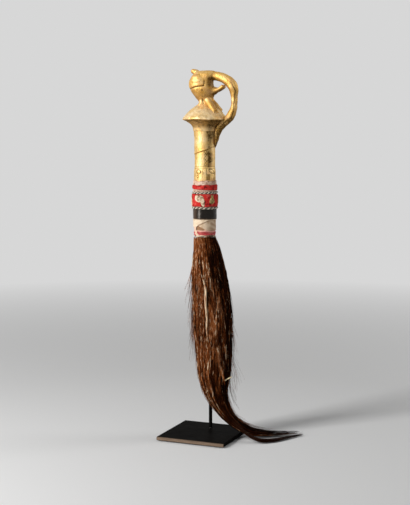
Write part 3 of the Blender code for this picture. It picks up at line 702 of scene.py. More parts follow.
@dataclass(frozen=True)
class Steel(Finish):
    """Dark waxed steel, with brown painted light on the front face up to the plate's own height."""

    edge: Colour = (0.25, 0.175, 0.122)
    edge_top: float = 0.0063
    rough: float = 0.42

    def nodes(self) -> Nodes:
        """Mottled dark skin; what is low and faces the front takes the edge colour as painted light, in long
        streaks like saw marks.

        Returns:
            The node tree.
        """
        nodes = Nodes(self.name, Specular_IOR_Level=0.004)
        patch, fine = nodes.noise(38, 4), nodes.noise(700, 3, (0.15, 1, 1))
        light = tuple(part * 1.8 + 0.001 for part in self.colour)
        tone = nodes.ramp(patch, {0.35: self.colour, 0.75: light})
        # Painted light on the low front face.
        front = nodes.span(nodes.facing()[1], -0.9, -0.5, 1, 0)
        low = nodes.sums("LESS_THAN", nodes.parts(nodes.place())[2], self.edge_top)
        sawn = nodes.span(nodes.noise(900, 3, (0.06, 1, 1)), 0.3, 0.7, 0.55, 1)
        edged = nodes.sums("MULTIPLY", sawn, nodes.sums("MULTIPLY", front, low))
        rough = nodes.span(fine, 0.3, 0.7, self.rough, self.rough + 0.16)
        nodes.wear(Base_Color=nodes.blend(edged, tone, self.edge), Roughness=rough)
        nodes.wear(Normal=nodes.bump(fine, 0.00003, 0.4))
        return nodes


GOLD = GoldLeaf("gold_leaf", Slot.GILT, (0.72, 0.43, 0.12), rubbed=(0.88, 0.61, 0.30))
# Painted light: a paler copy of the gold leaf for the collar's cap, whose dome faces up to the lamp.
LIT_CAP_GOLD = GoldLeaf("lit_pale_gold_leaf", Slot.GILT, (0.85, 0.60, 0.28), (0.62, 0.34, 0.08), (0.97, 0.80, 0.54))
SHEET_GOLD = GoldLeaf("gold_sheet_skin", Slot.GOLD, (0.84, 0.57, 0.22))
RED = Cloth("red_cotton", Slot.RED_CLOTH, (0.64, 0.026, 0.020), (0.15, 0.004, 0.005), (0.86, 0.17, 0.13))
LINEN = Cloth("pale_cotton", Slot.PALE_CLOTH, (0.78, 0.54, 0.40), (0.34, 0.17, 0.11), (0.90, 0.76, 0.63))
CREAM = Cloth("cream_cotton", Slot.PALE_CLOTH, (0.88, 0.68, 0.48), (0.2, 0.1, 0.04), (0.97, 0.86, 0.72), 0.3)
# Partly painted shade: a darker, olive copy of the cream cloth, for the bell motifs.
SHADED_TAN = Cloth("shaded_tan_cotton", Slot.PALE_CLOTH, (0.52, 0.38, 0.14), (0.13, 0.08, 0.02), (0.80, 0.62, 0.34), 0.3)
PIED_CORD = Cord("pied_cord", Slot.PALE_THREAD, (0.80, 0.68, 0.52))
CREAM_CORD = Cord("cream_cord", Slot.PALE_THREAD, (0.82, 0.62, 0.46), (0.62, 0.34, 0.26))
GREEN_CORD = Cord("green_cord", Slot.GREEN_THREAD, (0.74, 0.72, 0.58), (0.008, 0.085, 0.034))
RED_THREAD = Cord("red_thread", Slot.RED_CLOTH, (0.58, 0.035, 0.04), (0.82, 0.40, 0.34))
BLACK_LEATHER = Leather("black_leather_skin", Slot.LEATHER, (0.0045, 0.0035, 0.003))
PALE_HIDE = Hide("pale_hide_skin", Slot.PALE_HIDE, (0.74, 0.59, 0.42))
BROWN_HIDE = Hide("brown_hide_skin", Slot.BROWN_HIDE, (0.74, 0.50, 0.36))
BROWN_HAIR = Hair("brown_hair_skin", Slot.BROWN_HAIR, (0.19, 0.047, 0.011))
PALE_HAIR = Hair("pale_hair_skin", Slot.PALE_HAIR, (0.19, 0.047, 0.011))
BLACK_STEEL = Steel("black_steel_skin", Slot.STEEL, (0.0032, 0.0027, 0.0023))
SCREW_STEEL = Steel("screw_steel_skin", Slot.SCREW, (0.40, 0.39, 0.38), (0.40, 0.39, 0.38))
FELT = Finish("grey_felt_skin", Slot.FELT, (0.06, 0.06, 0.06))
WOOD = Finish("core_wood_skin", Slot.WOOD, (0.32, 0.20, 0.11))
STRAW = Finish("straw_skin", Slot.PALE_HAIR, (0.95, 0.78, 0.46))


def linked(name: str, data: bpy.types.ID) -> bpy.types.Object:
    """A new object in the scene."""
    made = bpy.data.objects.new(name, data)
    bpy.context.scene.collection.objects.link(made)
    return made


def piece(name: str, shape: Shell | bpy.types.Mesh, finish: Finish, body: Body | None, *nodes: str) -> object:
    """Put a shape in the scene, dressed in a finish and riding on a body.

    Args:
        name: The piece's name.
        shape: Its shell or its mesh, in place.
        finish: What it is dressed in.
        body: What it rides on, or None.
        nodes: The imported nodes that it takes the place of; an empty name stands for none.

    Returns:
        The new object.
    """
    made = linked(name, shape.mesh(name) if isinstance(shape, Shell) else shape)
    made.data.materials.append(finish.material())
    if body is not None:
        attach(made, body.value)
    named = [node for node in nodes if node]
    if named:
        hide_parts(*named)
    log.info("%s: %d faces, %s", name, len(made.data.polygons), finish.name)
    return made


def applied(made: bpy.types.Object) -> bpy.types.Mesh:
    """The mesh of an object with its modifiers in it.

    Args:
        made: The object, which is removed.

    Returns:
        The mesh.
    """
    graph = bpy.context.evaluated_depsgraph_get()
    mesh = bpy.data.meshes.new_from_object(made.evaluated_get(graph))
    mesh.name = made.name
    bpy.data.objects.remove(made)
    return mesh


def fused(name: str, shells: list[Shell], voxel: float) -> bpy.types.Mesh:
    """One closed mesh round several shells that run into each other.

    Args:
        name: The mesh's name.
        shells: The closed shells.
        voxel: The size of the cells that the new surface is drawn through.

    Returns:
        The mesh.
    """
    made = linked(name, joined(shells).mesh(name))
    remesh = made.modifiers.new("fuse", "REMESH")
    remesh.mode = "VOXEL"
    remesh.voxel_size = voxel
    return applied(made)


def read(mesh: bpy.types.Mesh) -> tuple[Array, Array, Array]:
    """What a mesh holds.

    Args:
        mesh: The mesh.

    Returns:
        Its points, its edges and its points' normals.
    """
    points = np.empty(len(mesh.vertices) * 3, np.float32)
    mesh.vertices.foreach_get("co", points)
    edges = np.empty(len(mesh.edges) * 2, np.int32)
    mesh.edges.foreach_get("vertices", edges)
    normals = np.empty(len(mesh.vertices) * 3, np.float32)
    mesh.vertex_normals.foreach_get("vector", normals)
    return points.reshape(-1, 3).astype(float), edges.reshape(-1, 2), normals.reshape(-1, 3).astype(float)


def softened(points: Array, edges: Array, rounds: int, share: float) -> Array:
    """Points moved towards the mean of their neighbours, again and again.

    Args:
        points: The points.
        edges: The pairs of points that are neighbours.
        rounds: How many times.
        share: How far each time, from 0 to 1.

    Returns:
        The moved points.
    """
    ends, others = np.concatenate([edges[:, 0], edges[:, 1]]), np.concatenate([edges[:, 1], edges[:, 0]])
    count = np.maximum(np.bincount(ends, minlength=len(points)), 1)
    for _ in range(rounds):
        sums = [np.bincount(ends, points[others, axis], len(points)) for axis in range(3)]
        points = mix(points, np.stack(sums, -1) / count[:, None], share)
    return points


def write(mesh: bpy.types.Mesh, points: Array, **values: Array) -> None:
    """Put points and values for the finish into a mesh.

    Args:
        mesh: The mesh.
        points: Its points' places.
        values: Numbers for each point.
    """
    mesh.vertices.foreach_set("co", points.astype(np.float32).ravel())
    for key, numbers in values.items():
        attribute = mesh.attributes.new(key, "FLOAT", "POINT")
        attribute.data.foreach_set("value", np.asarray(numbers, np.float32).ravel())
    mesh.shade_smooth()
    mesh.update()


@dataclass
class Studio:
    """Pale floor, even world light, two soft lamps and the camera at the photograph's angle."""

    floor_rings: tuple[float, ...] = (9.0, 5.0, 3.0, 1.6, 0.8, 0.3)
    floor_level: float = -0.00025
    floor_colour: Colour = (0.84, 0.84, 0.835)
    backdrop: Colour = (0.68, 0.68, 0.68)
    even_light: float = 0.22
    lens: float = 85.0
    camera_place: Triple = (0.6420, -1.5361, 0.4471)
    camera_turn: Triple = (math.radians(90 - 6.29), 0.0, math.radians(22.616))
    lamp_aim: Triple = (0.01, 0.0, 0.26)
    lamp_away: float = 1.5

    def floor(self) -> None:
        """A flat disc whose shaded middle fades into the backdrop's own colour far away."""
        level = UP * self.floor_level
        grid = np.array(self.floor_rings)[:, None, None] * outward(turns(96)) + level
        floor = linked("floor", skin(grid, poles=(None, level)).mesh("floor"))
        nodes = Nodes("floor_paper", Base_Color=self.floor_colour, Roughness=0.9, Specular_IOR_Level=0.1)
        away = nodes.add("ShaderNodeVectorMath", {0: nodes.place()}, operation="LENGTH").outputs["Value"]
        glow = nodes.add("ShaderNodeEmission", {"Color": (*self.backdrop, 1), "Strength": 1.0}).outputs[0]
        share = nodes.span(away, 0.45, 1.7, 0, 1)
        mixed = nodes.add("ShaderNodeMixShader", {0: share, 1: nodes.shader.outputs[0], 2: glow})
        nodes.put(mixed.outputs[0], nodes.tree.nodes["Material Output"].inputs[0])
        floor.data.materials.append(nodes.material)

    def world(self) -> None:
        """The backdrop's colour for what camera, gloss and glass see, a dimmer even light for the rest."""
        world = bpy.data.worlds.new("studio")
        bpy.context.scene.world = world
        world.use_nodes = True
        tree = world.node_tree
        path = tree.nodes.new("ShaderNodeLightPath")
        seen = path.outputs["Is Camera Ray"]
        for output in ("Is Glossy Ray", "Is Transmission Ray"):
            either = tree.nodes.new("ShaderNodeMath")
            either.operation = "MAXIMUM"
            tree.links.new(seen, either.inputs[0])
            tree.links.new(path.outputs[output], either.inputs[1])
            seen = either.outputs[0]
        strength = tree.nodes.new("ShaderNodeMapRange")
        tree.links.new(seen, strength.inputs["Value"])
        strength.inputs["To Min"].default_value = self.even_light
        tree.links.new(strength.outputs[0], tree.nodes["Background"].inputs["Strength"])
        tree.nodes["Background"].inputs["Color"].default_value = (*self.backdrop, 1)

    def lamp(self, name: str, turn: float, rise: float, size: Pair, power: float) -> None:
        """A soft lamp that faces the handle.

        Args:
            name: The lamp's name.
            turn: Its direction round the object, in degrees from +X.
            rise: Its height over the horizon, in degrees.
            size: Its breadth and its height.
            power: Its power in watts.
        """
        data = bpy.data.lights.new(name, "AREA")
        data.shape = "RECTANGLE"
        data.size, data.size_y = size
        data.energy = power
        lamp = linked(name, data)
        flat, lift = math.radians(turn), math.radians(rise)
        way = Vector((math.cos(flat) * math.cos(lift), math.sin(flat) * math.cos(lift), math.sin(lift)))
        lamp.location = Vector(self.lamp_aim) + way * self.lamp_away
        lamp.rotation_euler = way.to_track_quat("Z", "Y").to_euler()

    def camera(self) -> None:
        """A long lens a little above the middle of the handle, looking slightly down."""
        data = bpy.data.cameras.new("camera")
        data.lens = self.lens
        data.clip_start = 0.05
        camera = linked("camera", data)
        camera.location = self.camera_place
        camera.rotation_euler = self.camera_turn
        bpy.context.scene.camera = camera

    def build(self) -> None:
        """Set the studio up."""
        self.floor()
        self.world()
        self.lamp("key_lamp", -126, 21, (0.42, 1.6), 27.8)
        self.lamp("side_lamp", 32, 26, (0.5, 1.0), 4.8)
        self.camera()
        bpy.context.scene.view_settings.view_transform = "Standard"


@dataclass
class Finial:
    """The carved elephant on the collar: bulging head and body, ears, jaw with tusks, curled nub, arched
    trunk and root-like legs, drawn as rows of sizes in the handle's own axes.

    A row of body_levels holds a height, the back, the front and half the depth. A row of trunk_line, nub_line
    and jaw_line holds x, height and radius, and one of tusk_line holds x, y, height and radius.
    """

    voxel: float = 0.00043
    squareness: float = 0.88
    body_levels: Rows = (
        (0.4680, -0.0076, 0.0130, 0.0092), (0.4705, -0.0070, 0.0110, 0.0085),
        (0.4740, -0.0083, 0.0104, 0.0086), (0.4780, -0.0114, 0.0112, 0.0106),
        (0.4820, -0.0147, 0.0130, 0.0128), (0.4865, -0.0179, 0.0146, 0.0146),
        (0.4905, -0.0202, 0.0142, 0.0158), (0.4950, -0.0216, 0.0124, 0.0164),
        (0.4990, -0.0218, 0.0112, 0.0165), (0.5030, -0.0212, 0.0116, 0.0160),
        (0.5070, -0.0198, 0.0140, 0.0147), (0.5105, -0.0174, 0.0156, 0.0128),
        (0.5137, -0.0138, 0.0158, 0.0102), (0.5162, -0.0090, 0.0140, 0.0068),
    )
    trunk_line: Rows = (
        (0.0030, 0.5092, 0.0064), (0.0110, 0.5094, 0.0066), (0.0180, 0.5087, 0.0063),
        (0.0250, 0.5070, 0.0064), (0.0312, 0.5042, 0.0069), (0.0372, 0.5000, 0.0073),
        (0.0416, 0.4945, 0.0072), (0.0434, 0.4876, 0.0062), (0.0440, 0.4800, 0.0049),
        (0.0439, 0.4720, 0.0045), (0.0429, 0.4650, 0.0050), (0.0406, 0.4580, 0.0058),
        (0.0356, 0.4508, 0.0061), (0.0284, 0.4442, 0.0056), (0.0220, 0.4372, 0.0052),
        (0.0187, 0.4298, 0.0046), (0.0178, 0.4228, 0.0035), (0.0164, 0.4165, 0.0024),
        (0.0154, 0.4105, 0.0010),
    )
    nub_line: Rows = (
        (-0.0060, 0.5086, 0.0044), (-0.0105, 0.5128, 0.0044), (-0.0145, 0.5150, 0.0042),
        (-0.0176, 0.5157, 0.0037), (-0.0194, 0.5150, 0.0029),
    )
    nub_spread: float = 0.0016
    jaw_line: Rows = (
        (0.0020, 0.4868, 0.0080), (0.0095, 0.4882, 0.0078),
        (0.0142, 0.4889, 0.0060), (0.0198, 0.4902, 0.0034),
    )
    tusk_line: Rows = (
        (0.0148, 0.0032, 0.4884, 0.0032), (0.0205, 0.0033, 0.4902, 0.0028),
        (0.0248, 0.0034, 0.4925, 0.0026), (0.0284, 0.0035, 0.4950, 0.0027),
    )
    legs: tuple[Rows, ...] = (
        (
            (-0.0010, 0.0035, 0.4840), (-0.0014, 0.0046, 0.4760),
            (-0.0020, 0.0056, 0.4705), (-0.0042, 0.0076, 0.4668),
        ),
        (
            (0.0030, 0.0035, 0.4840), (0.0068, 0.0052, 0.4748),
            (0.0124, 0.0074, 0.4682), (0.0190, 0.0096, 0.4602),
        ),
    )
    leg_radii: tuple[float, ...] = (0.0056, 0.0052, 0.0050, 0.0044)
    toe_reach: float = 0.0034
    seam_tilt: float = math.radians(60)
    seam_depth: float = 0.0009
    ear_centre: Triple = (-0.0062, 0.0108, 0.5030)
    ear_reach: Triple = (0.0108, 0.0064, 0.0086)
    ear_edge: Rows = (
        (-0.0190, 0.4908), (-0.0143, 0.4921), (-0.0076, 0.4939), (-0.0010, 0.4948), (0.0048, 0.4957),
    )
    dots: tuple[float, ...] = (-0.0046, 0.0022)
    dot_height: float = 0.4897

    def middle_line(self, rows: Rows, samples: int) -> Array:
        """A smooth line in the plane between the two sides, as rows of x, 0, height and radius."""
        return np.insert(spline(rows, samples), 1, 0.0, axis=1)

    def body(self) -> Shell:
        """Stacked ovals, a little squarer than ellipses: x = middle + half |cos a|^s, y = depth |sin a|^s.

        Returns:
            The head and the body.
        """
        height, back, front, depth = spline(self.body_levels, 60).T[..., None]
        turn = turns(88)
        x = (front + back) / 2 + (front - back) / 2 * squarer(np.cos(turn), self.squareness)
        y = depth * squarer(np.sin(turn), self.squareness)
        grid = np.stack([x, y, np.broadcast_to(height, x.shape)], -1) + AXIS
        return skin(grid, poles=(grid[0].mean(0) - UP * 0.001, grid[-1].mean(0) + UP * 0.0008))

    def limb(self, rows: Array, sides: int, side: int = 1, flat: float = 1.0) -> Shell:
        """A bar along rows of x, y, height and radius, on the other side where side is -1."""
        return bar(rows[:, :3] * (1, side, 1) + AXIS, rows[:, 3], sides, DEPTH, flat)

    def limbs(self) -> list[Shell]:
        """Trunk, jaw, tusks, nub, legs and toes as bars along smooth lines.

        Returns:
            The bars.
        """
        made = [self.limb(self.middle_line(self.trunk_line, 90), 28, flat=0.95)]
        made.append(self.limb(self.middle_line(self.jaw_line, 20), 24, flat=1.15))
        nub = self.middle_line(self.nub_line, 22)
        nub[:, 1] = np.linspace(0, self.nub_spread, len(nub))
        nub[:, 3] *= 0.94
        for side in (-1, 1):
            made += [self.limb(spline(self.tusk_line, 18), 18, side), self.limb(nub, 18, side)]
            for line in self.legs:
                made.append(self.limb(spline(np.column_stack([line, self.leg_radii]), 18), 20, side))
                made += self.toes(np.array(line[-1]) * (1, side, 1))
        return made

    def toes(self, foot: Array) -> list[Shell]:
        """Three short, low ridges that fan out down the dome from a foot.

        Args:
            foot: The middle of the foot.

        Returns:
            The ridges.
        """
        ahead = unit(foot * (1, 1, 0))
        sideways = np.cross(UP, ahead)
        share = np.linspace(0, 1, 8)[:, None]
        made = []
        for spread in (-0.75, 0.0, 0.75):
            way = unit(ahead + spread * sideways - UP * 0.72)
            line = foot + sideways * spread * 0.0026 + way * self.toe_reach * share * 1.3
            made.append(bar(line + AXIS, np.linspace(0.0021, 0.0013, 8), 12, UP))
        return made

    def ears(self) -> list[Shell]:
        """Two flattened balls sunk in the sides of the head.

        Returns:
            The balls.
        """
        lift = np.linspace(-1, 1, 26)[1:-1, None, None] * math.pi / 2
        ball = (np.cos(lift) * outward(turns(40)) + np.sin(lift) * UP) * self.ear_reach
        pole = UP * self.ear_reach[2]
        centres = [AXIS + np.array(self.ear_centre) * (1, side, 1) for side in (-1, 1)]
        return [skin(centre + ball, poles=(centre - pole, centre + pole)) for centre in centres]

    def seam(self, place: Array) -> tuple[Array, Array]:
        """The groove down the trunk where the sheet's edges meet, and rings across the trunk.

        The depth falls off as exp(-(d / w)^2) with the distance d from the seam round the trunk.

        Args:
            place: Points in the handle's axes.

        Returns:
            How far each point is pushed in, and the groove's share there.
        """
        trunk = self.middle_line(self.trunk_line, 90)
        line, radii = trunk[:, :3], trunk[:, 3]
        squares = ((place[:, None] - line[None]) ** 2).sum(-1)
        nearest = squares.argmin(1)
        radius = radii[nearest]
        forward = unit(np.gradient(line, axis=0))[nearest]
        upward = np.stack([-forward[:, 2], 0 * nearest, forward[:, 0]], -1)
        upward = upward * np.where(upward @ np.array((1.0, 0, 0.4)) < 0, -1, 1)[:, None]
        arm = place - line[nearest]
        wander = 0.16 * np.sin(nearest * 0.31) + 0.08 * np.sin(nearest * 0.83 + 1)
        angle = np.arctan2(-arm[:, 1], (arm * upward).sum(-1)) - self.seam_tilt - wander
        on_trunk = ease(np.sqrt(squares.min(1)), 1.5 * radius.max(), 1.1 * radius.max())
        on_trunk = on_trunk * within(nearest, 18, 26, 74, 84)
        open_here = 0.25 + 0.75 * np.maximum(hump(nearest - 36.0, 9.0), hump(nearest - 58.0, 8.0))
        groove = hump(angle * radius, 0.0006 + 0.0007 * open_here) * on_trunk * open_here
        rings = (0.5 + 0.5 * np.sin(nearest * 0.85)) ** 6 * on_trunk * ease(nearest, 70, 50)
        return self.seam_depth * groove + 0.00010 * rings, groove

    def marks(self, place: Array) -> tuple[Array, Array]:
        """The ears' flaps with the groove under each, the ringed dots below and the creases between legs.

        A flap's lower edge is a line of heights by x, and its front edge is upright.

        Args:
            place: Points in the handle's axes.

        Returns:
            How far each point is pushed in, and the share of the marks there.
        """
        x, side, z = place[:, 0], np.abs(place[:, 1]), place[:, 2]
        edge_x, edge_z = np.array(self.ear_edge).T
        over = z - np.interp(x, edge_x, edge_z)
        before = edge_x[-1] - x
        cheek = ease(side, 0.006, 0.010) * ease(z, 0.5120, 0.5060)
        flap = ease(over, 0.0, 0.0012) * ease(before, 0.0, 0.0012) * cheek * ease(z, 0.5060, 0.5020)
        under = hump(over, 0.0011) * ease(before, -0.0006, 0.0004) * cheek * (0.80 + 0.20 * np.sin(x * 520))
        front = 0.7 * hump(before, 0.0009) * ease(over, -0.0006, 0.0006) * ease(z, 0.5045, 0.5010) * cheek
        dots = np.zeros(len(x))
        for spot in self.dots:
            away = np.hypot(x - spot, z - self.dot_height)
            dots += hump(away - 0.0010, 0.00045) * ease(side, 0.006, 0.010)
        crease = hump(np.hypot(x - 0.0006, (z - 0.4752) * 0.4), 0.0011) * ease(side, 0.002, 0.004)
        crease += 0.8 * hump(np.hypot(x - 0.0117, z - 0.4622), 0.0011) * ease(side, 0.004, 0.007)
        groove = share_of(under + front)
        depth = 0.0009 * groove - 0.0007 * flap + 0.0004 * dots + 0.0006 * crease
        return depth, share_of(groove + 0.8 * dots + crease)

    def shadows(self, place: Array, normals: Array) -> Array:
        """Painted shade on what faces down, between head and jaw, behind the jaw, on the belly and the front
        legs, and on the trunk's low end, less where that faces along the sweep.

        Args:
            place: Points in the handle's axes.
            normals: Their normals.

        Returns:
            The dirt's share at each point.
        """
        x, z = place[:, 0], place[:, 2]
        mouth = ease(np.abs(z - 0.5010), 0.0090, 0.0040) * ease(x, 0.0060, 0.0105)
        # The trunk's low end.
        foot = ease(z, 0.4560, 0.4440) * ease(x, 0.012, 0.016)
        belly = within(z, 0.4760, 0.4820, 0.4885, 0.4955) * ease(x, -0.008, 0.004)
        dirt_and_shade = ease(normals[:, 2], -0.10, -0.80) * 0.62
        dirt_and_shade = dirt_and_shade + 0.80 * mouth * ease(x, 0.0200, 0.0150) + 0.34 * belly
        dirt_and_shade = dirt_and_shade + 0.24 * ease(z, 0.4770, 0.4725) * ease(x, 0.002, 0.006)
        return dirt_and_shade + 0.62 * foot * (1 - 0.75 * ease(normals @ SWEEP, 0.55, 0.95))

    def build(self) -> None:
        """Fuse the forms, soften them, cut the seam and marks, and dent the surface as hand carving does."""
        mesh = fused("finial_carving", [self.body(), *self.limbs(), *self.ears()], self.voxel)
        points, edges, _ = read(mesh)
        write(mesh, softened(points, edges, 6, 0.6))
        points, edges, normals = read(mesh)
        place = points - AXIS
        seam_depth, seam = self.seam(place)
        mark_depth, marks = self.marks(place)
        dents = 0.00024 * ripple(place, 5, 0.013, 0.006) + 0.00005 * ripple(place, 6, 0.003, 0.0014)
        creases = 0.00008 * np.abs(ripple(place, 7, 0.009, 0.004)) ** 0.6
        points = points + normals * (dents - creases - seam_depth - mark_depth)[:, None]
        sunk = ((softened(points, edges, 10, 0.7) - points) * normals).sum(-1)
        # Dark joints and soiling in the seam and marks, with painted shade in what is sunk and in the
        # grooves.
        hollow = share_of(ease(sunk, 0.00004, 0.00030) + 0.85 * seam + 0.52 * marks)
        worn = ease(ripple(place, 8, 0.022, 0.009), 0.15, 0.75) * 0.32
        write(mesh, points, hollow=share_of(hollow + self.shadows(place, normals)), worn=worn)
        nodes = ("finial_body", "finial_trunk", "ear_near", "ear_far", "tusk_near", "tusk_far", "tail_nub")
        piece("finial_carving", mesh, GOLD, Body.HANDLE, *nodes)


@dataclass
class Shaft:
    """The mushroom collar and the two lapped gold sheets round the shaft, with their chased lines.

    A row of collar_profile holds a radius and a height. A sheet's radius is given by its least value, what
    is added to it, and the heights between which that grows.
    """

    columns: int = 300
    collar_profile: Rows = (
        (0.0144, 0.4332), (0.0158, 0.4334), (0.0163, 0.4360), (0.0169, 0.4385), (0.0184, 0.4412),
        (0.0211, 0.4438), (0.0255, 0.4468), (0.0297, 0.4488), (0.0309, 0.4500), (0.0301, 0.4520),
        (0.0275, 0.4552), (0.0231, 0.4598), (0.0182, 0.4642), (0.0134, 0.4676), (0.0089, 0.4706),
        (0.0050, 0.4724), (0.0015, 0.4729),
    )
    crown: float = 0.4730
    rim: float = 0.0309
    bore_radius: float = 0.0140
    bore_top: float = 0.4400
    socket_radius: float = 0.0020
    socket_heights: Pair = (0.4380, 0.4523)
    lap_height: float = 0.4069
    lap_slope: float = 0.38
    lap_over: float = 0.0022
    top: float = 0.4339
    foot: float = 0.3602
    upper_radius: tuple[float, ...] = (0.01462, 0.0007, 0.420, 0.434)
    lower_radius: tuple[float, ...] = (0.01432, 0.0008, 0.3850, 0.3770)
    inner_radius: float = 0.01405
    lap_radius: float = 0.0150
    chased_radius: float = 0.0148
    line_depth: float = 0.00032
    column_turn: float = -65.4
    pitch: float = 0.0089
    zigzag_reach: float = 0.0038
    panel_turns: Pair = (-104.1, -26.6)
    boss_height: float = 0.3768
    small_boss_height: float = 0.3704
    dot_height: float = 0.3668
    oval_height: float = 0.3774
    panel_edges: tuple[float, ...] = (-0.0084, -0.0075, 0.0072)
    border: Rows = ((0.3842, 0.6), (0.3830, -0.5), (0.3819, 0.6))

    def turns(self) -> Array:
        """The columns' angles round the shaft."""
        return turns(self.columns, -math.pi)

    def lap(self, turn: Array) -> Array:
        """The height of the lapped edge: lap_height + slope r cos(a - sweep), with a slow waver."""
        level = self.lap_height + self.lap_slope * self.lap_radius * np.cos(turn - SWEEP_TURN)
        return level + 0.0004 * np.sin(3 * turn + 1)

    def cap(self) -> Shell:
        """The turned cap: its profile carried round the axis, with a waver in the rim and dents in the dome.

        Returns:
            The cap, closed by the bore's inner end and by the crown.
        """
        turn = self.turns()
        level, height = spline(self.collar_profile, 118).T[..., None]
        # Painted shade: a dark upright band a little right of the front, under the rim.
        streak = hump(gap_between(turn, FRONT + math.radians(24)), 0.30) * ease(height, 0.4500, 0.4470)
        flat = barrel(level, height, turn)
        rim = hump(level - self.rim, 0.0035)
        underside = ease(height, 0.4496, 0.4478) * ease(level, 0.0158, 0.0176)
        radius = level * (1 + 0.008 * np.sin(2 * turn + 0.6) + 0.004 * np.sin(5 * turn))
        radius = radius + 0.00020 * ripple(flat, 11, 0.016, 0.006)
        radius = radius - 0.00016 * rim * np.abs(np.sin(9 * turn)) ** 8
        height = height + rim * (0.00035 * np.sin(3 * turn + 0.5) + 0.00018 * np.sin(7 * turn))
        height = height + 0.00016 * ripple(flat, 12, 0.012, 0.005)
        # Painted shade under the rim, deeper under its wide part and right of the front; the ripple adds
        # soiling.
        hollow = underside * (0.42 + 0.40 * ease(radius, 0.0220, 0.0280))
        hollow = hollow * (1 + 0.7 * ease(gap_between(turn, FRONT), -0.1, 0.6))
        hollow = share_of(hollow + 0.45 * streak + 0.25 * ease(ripple(flat, 13, 0.02, 0.006), 0.3, 0.8))
        bore = around(self.bore_radius, self.bore_top, turn)[None]
        grid, hollow = np.vstack([bore, around(radius, height, turn)]), np.vstack([hollow[:1], hollow])
        poles = (AXIS + UP * self.bore_top, AXIS + UP * self.crown)
        return skin(grid, (96, 60), poles, hollow=hollow, worn=0 * hollow)

    def collar(self) -> None:
        """The cap, with the post's blind socket drilled in its underside."""
        ends = [POST_PLACE + UP * height for height in self.socket_heights]
        rod = np.array(ends)[:, None] + self.socket_radius * outward(turns(24))
        drill = skin(rod, poles=ends, hollow=np.ones((2, 24)), worn=np.zeros((2, 24)))
        cutter = linked("drill", drill.mesh("drill"))
        made = linked("collar_cap", self.cap().mesh("collar_cap"))
        cut = made.modifiers.new("socket", "BOOLEAN")
        cut.operation, cut.object = "DIFFERENCE", cutter
        mesh = applied(made)
        bpy.data.objects.remove(cutter)
        mesh.shade_smooth()
        piece("collar_cap", mesh, LIT_CAP_GOLD, Body.HANDLE, "collar")

    def zigzags(self, turn: Array, height: Array) -> Array:
        """Four upright zigzags with dots, where the distance round equals a triangle wave of the height.

        Args:
            turn: Angles round the shaft.
            height: Heights.

        Returns:
            The lines' depth as a share.
        """
        cut = np.zeros(np.broadcast(turn, height).shape)
        upper = ease(height, 0.3846, 0.3856)
        for step in range(4):
            middle = math.radians(self.column_turn) + step * math.pi / 2
            across = gap_between(turn, middle) * self.chased_radius
            wave = np.abs((height / self.pitch + 0.5 * step) % 1 - 0.5) * 2
            for sign, depth in ((1, 1.0), (-1, 0.55)):
                line = across - sign * (wave - 0.5) * self.zigzag_reach - 0.0004
                cut += depth * hump(line, 0.00050) * upper
            spot = (height / self.pitch + 0.5 * step + 0.25) % 0.5 - 0.25
            cut += 0.5 * hump(np.hypot(across + 0.0042, spot * self.pitch), 0.0006) * upper
        return cut

    def bosses(self, across: Array, height: Array) -> Array:
        """A ringed boss over a small one and a dot, raised in their middles.

        Args:
            across: Distances round from the panel's middle.
            height: Heights.

        Returns:
            The lines' depth as a share.
        """
        away = np.hypot(across * 0.82, height - self.boss_height)
        low = np.hypot(across + 0.0012, height - self.small_boss_height)
        dot = np.hypot(across + 0.0010, (height - self.dot_height) * 1.6)
        cut = hump(away - 0.0031, 0.0006) - 0.9 * hump(away, 0.0014)
        return cut + hump(low - 0.0017, 0.0005) - 0.6 * hump(low, 0.0007) + 0.8 * hump(dot, 0.0009)

    def oval(self, across: Array, height: Array) -> Array:
        """A slanting ringed oval over a bent line and a sunk bar.

        Args:
            across: Distances round from the panel's middle.
            height: Heights.

        Returns:
            The lines' depth as a share.
        """
        over = height - self.oval_height
        ring = np.hypot((0.875 * across - 0.485 * over) / 0.0052, (0.485 * across + 0.875 * over) / 0.0024)
        cut = 1.1 * hump((ring - 1) * 0.0030, 0.0006) - 0.8 * hump(ring * 0.0030, 0.0016)
        bend = 0.0054 - 0.0016 * ease(height, 0.3740, 0.3670)
        cut += 1.1 * hump(across - bend, 0.0006) * within(height, 0.3650, 0.3660, 0.3750, 0.3762)
        sunk = within(across, -0.0074, -0.0068, -0.0032, -0.0024)
        return cut + 0.9 * sunk * within(height, 0.3652, 0.3660, 0.3734, 0.3742)

    def chasing(self, turn: Array, height: Array) -> Array:
        """The chased lines' depth as a share: zigzag columns, four panels with their edges, and a border.

        A line's depth is exp(-(d / w)^2) of the distance d to it on the unrolled sheet.

        Args:
            turn: Angles round the shaft.
            height: Heights.

        Returns:
            The depth at each grid point, below 0 where it is raised.
        """
        cut = self.zigzags(turn, height)
        edged = within(height, 0.3645, 0.3655, 0.3814, 0.3822)
        for number in range(4):
            degrees, draw = self.panel_turns[number % 2], (self.bosses, self.oval)[number % 2]
            across = gap_between(turn, math.radians(degrees + 180 * (number // 2))) * self.chased_radius
            cut += draw(across, height)
            for edge in self.panel_edges:
                cut += 0.9 * hump(across - edge, 0.0004) * edged
        for level, depth in self.border:
            cut += depth * hump(height - level - 0.0003 * np.sin(4 * turn), 0.00045)
        return np.clip(cut, -1, 1.2)

    def drapes(self, turn: Array, height: Array, seed: int) -> Array:
        """Slack in the sheet: long upright waves with short creases, in metres."""
        flat, fine = (barrel(self.lap_radius, height * share, turn) for share in (0.35, 0.8))
        return 0.00015 * ripple(flat, seed, 0.014, 0.006) + 0.00005 * ripple(fine, seed + 1, 0.004, 0.0016)

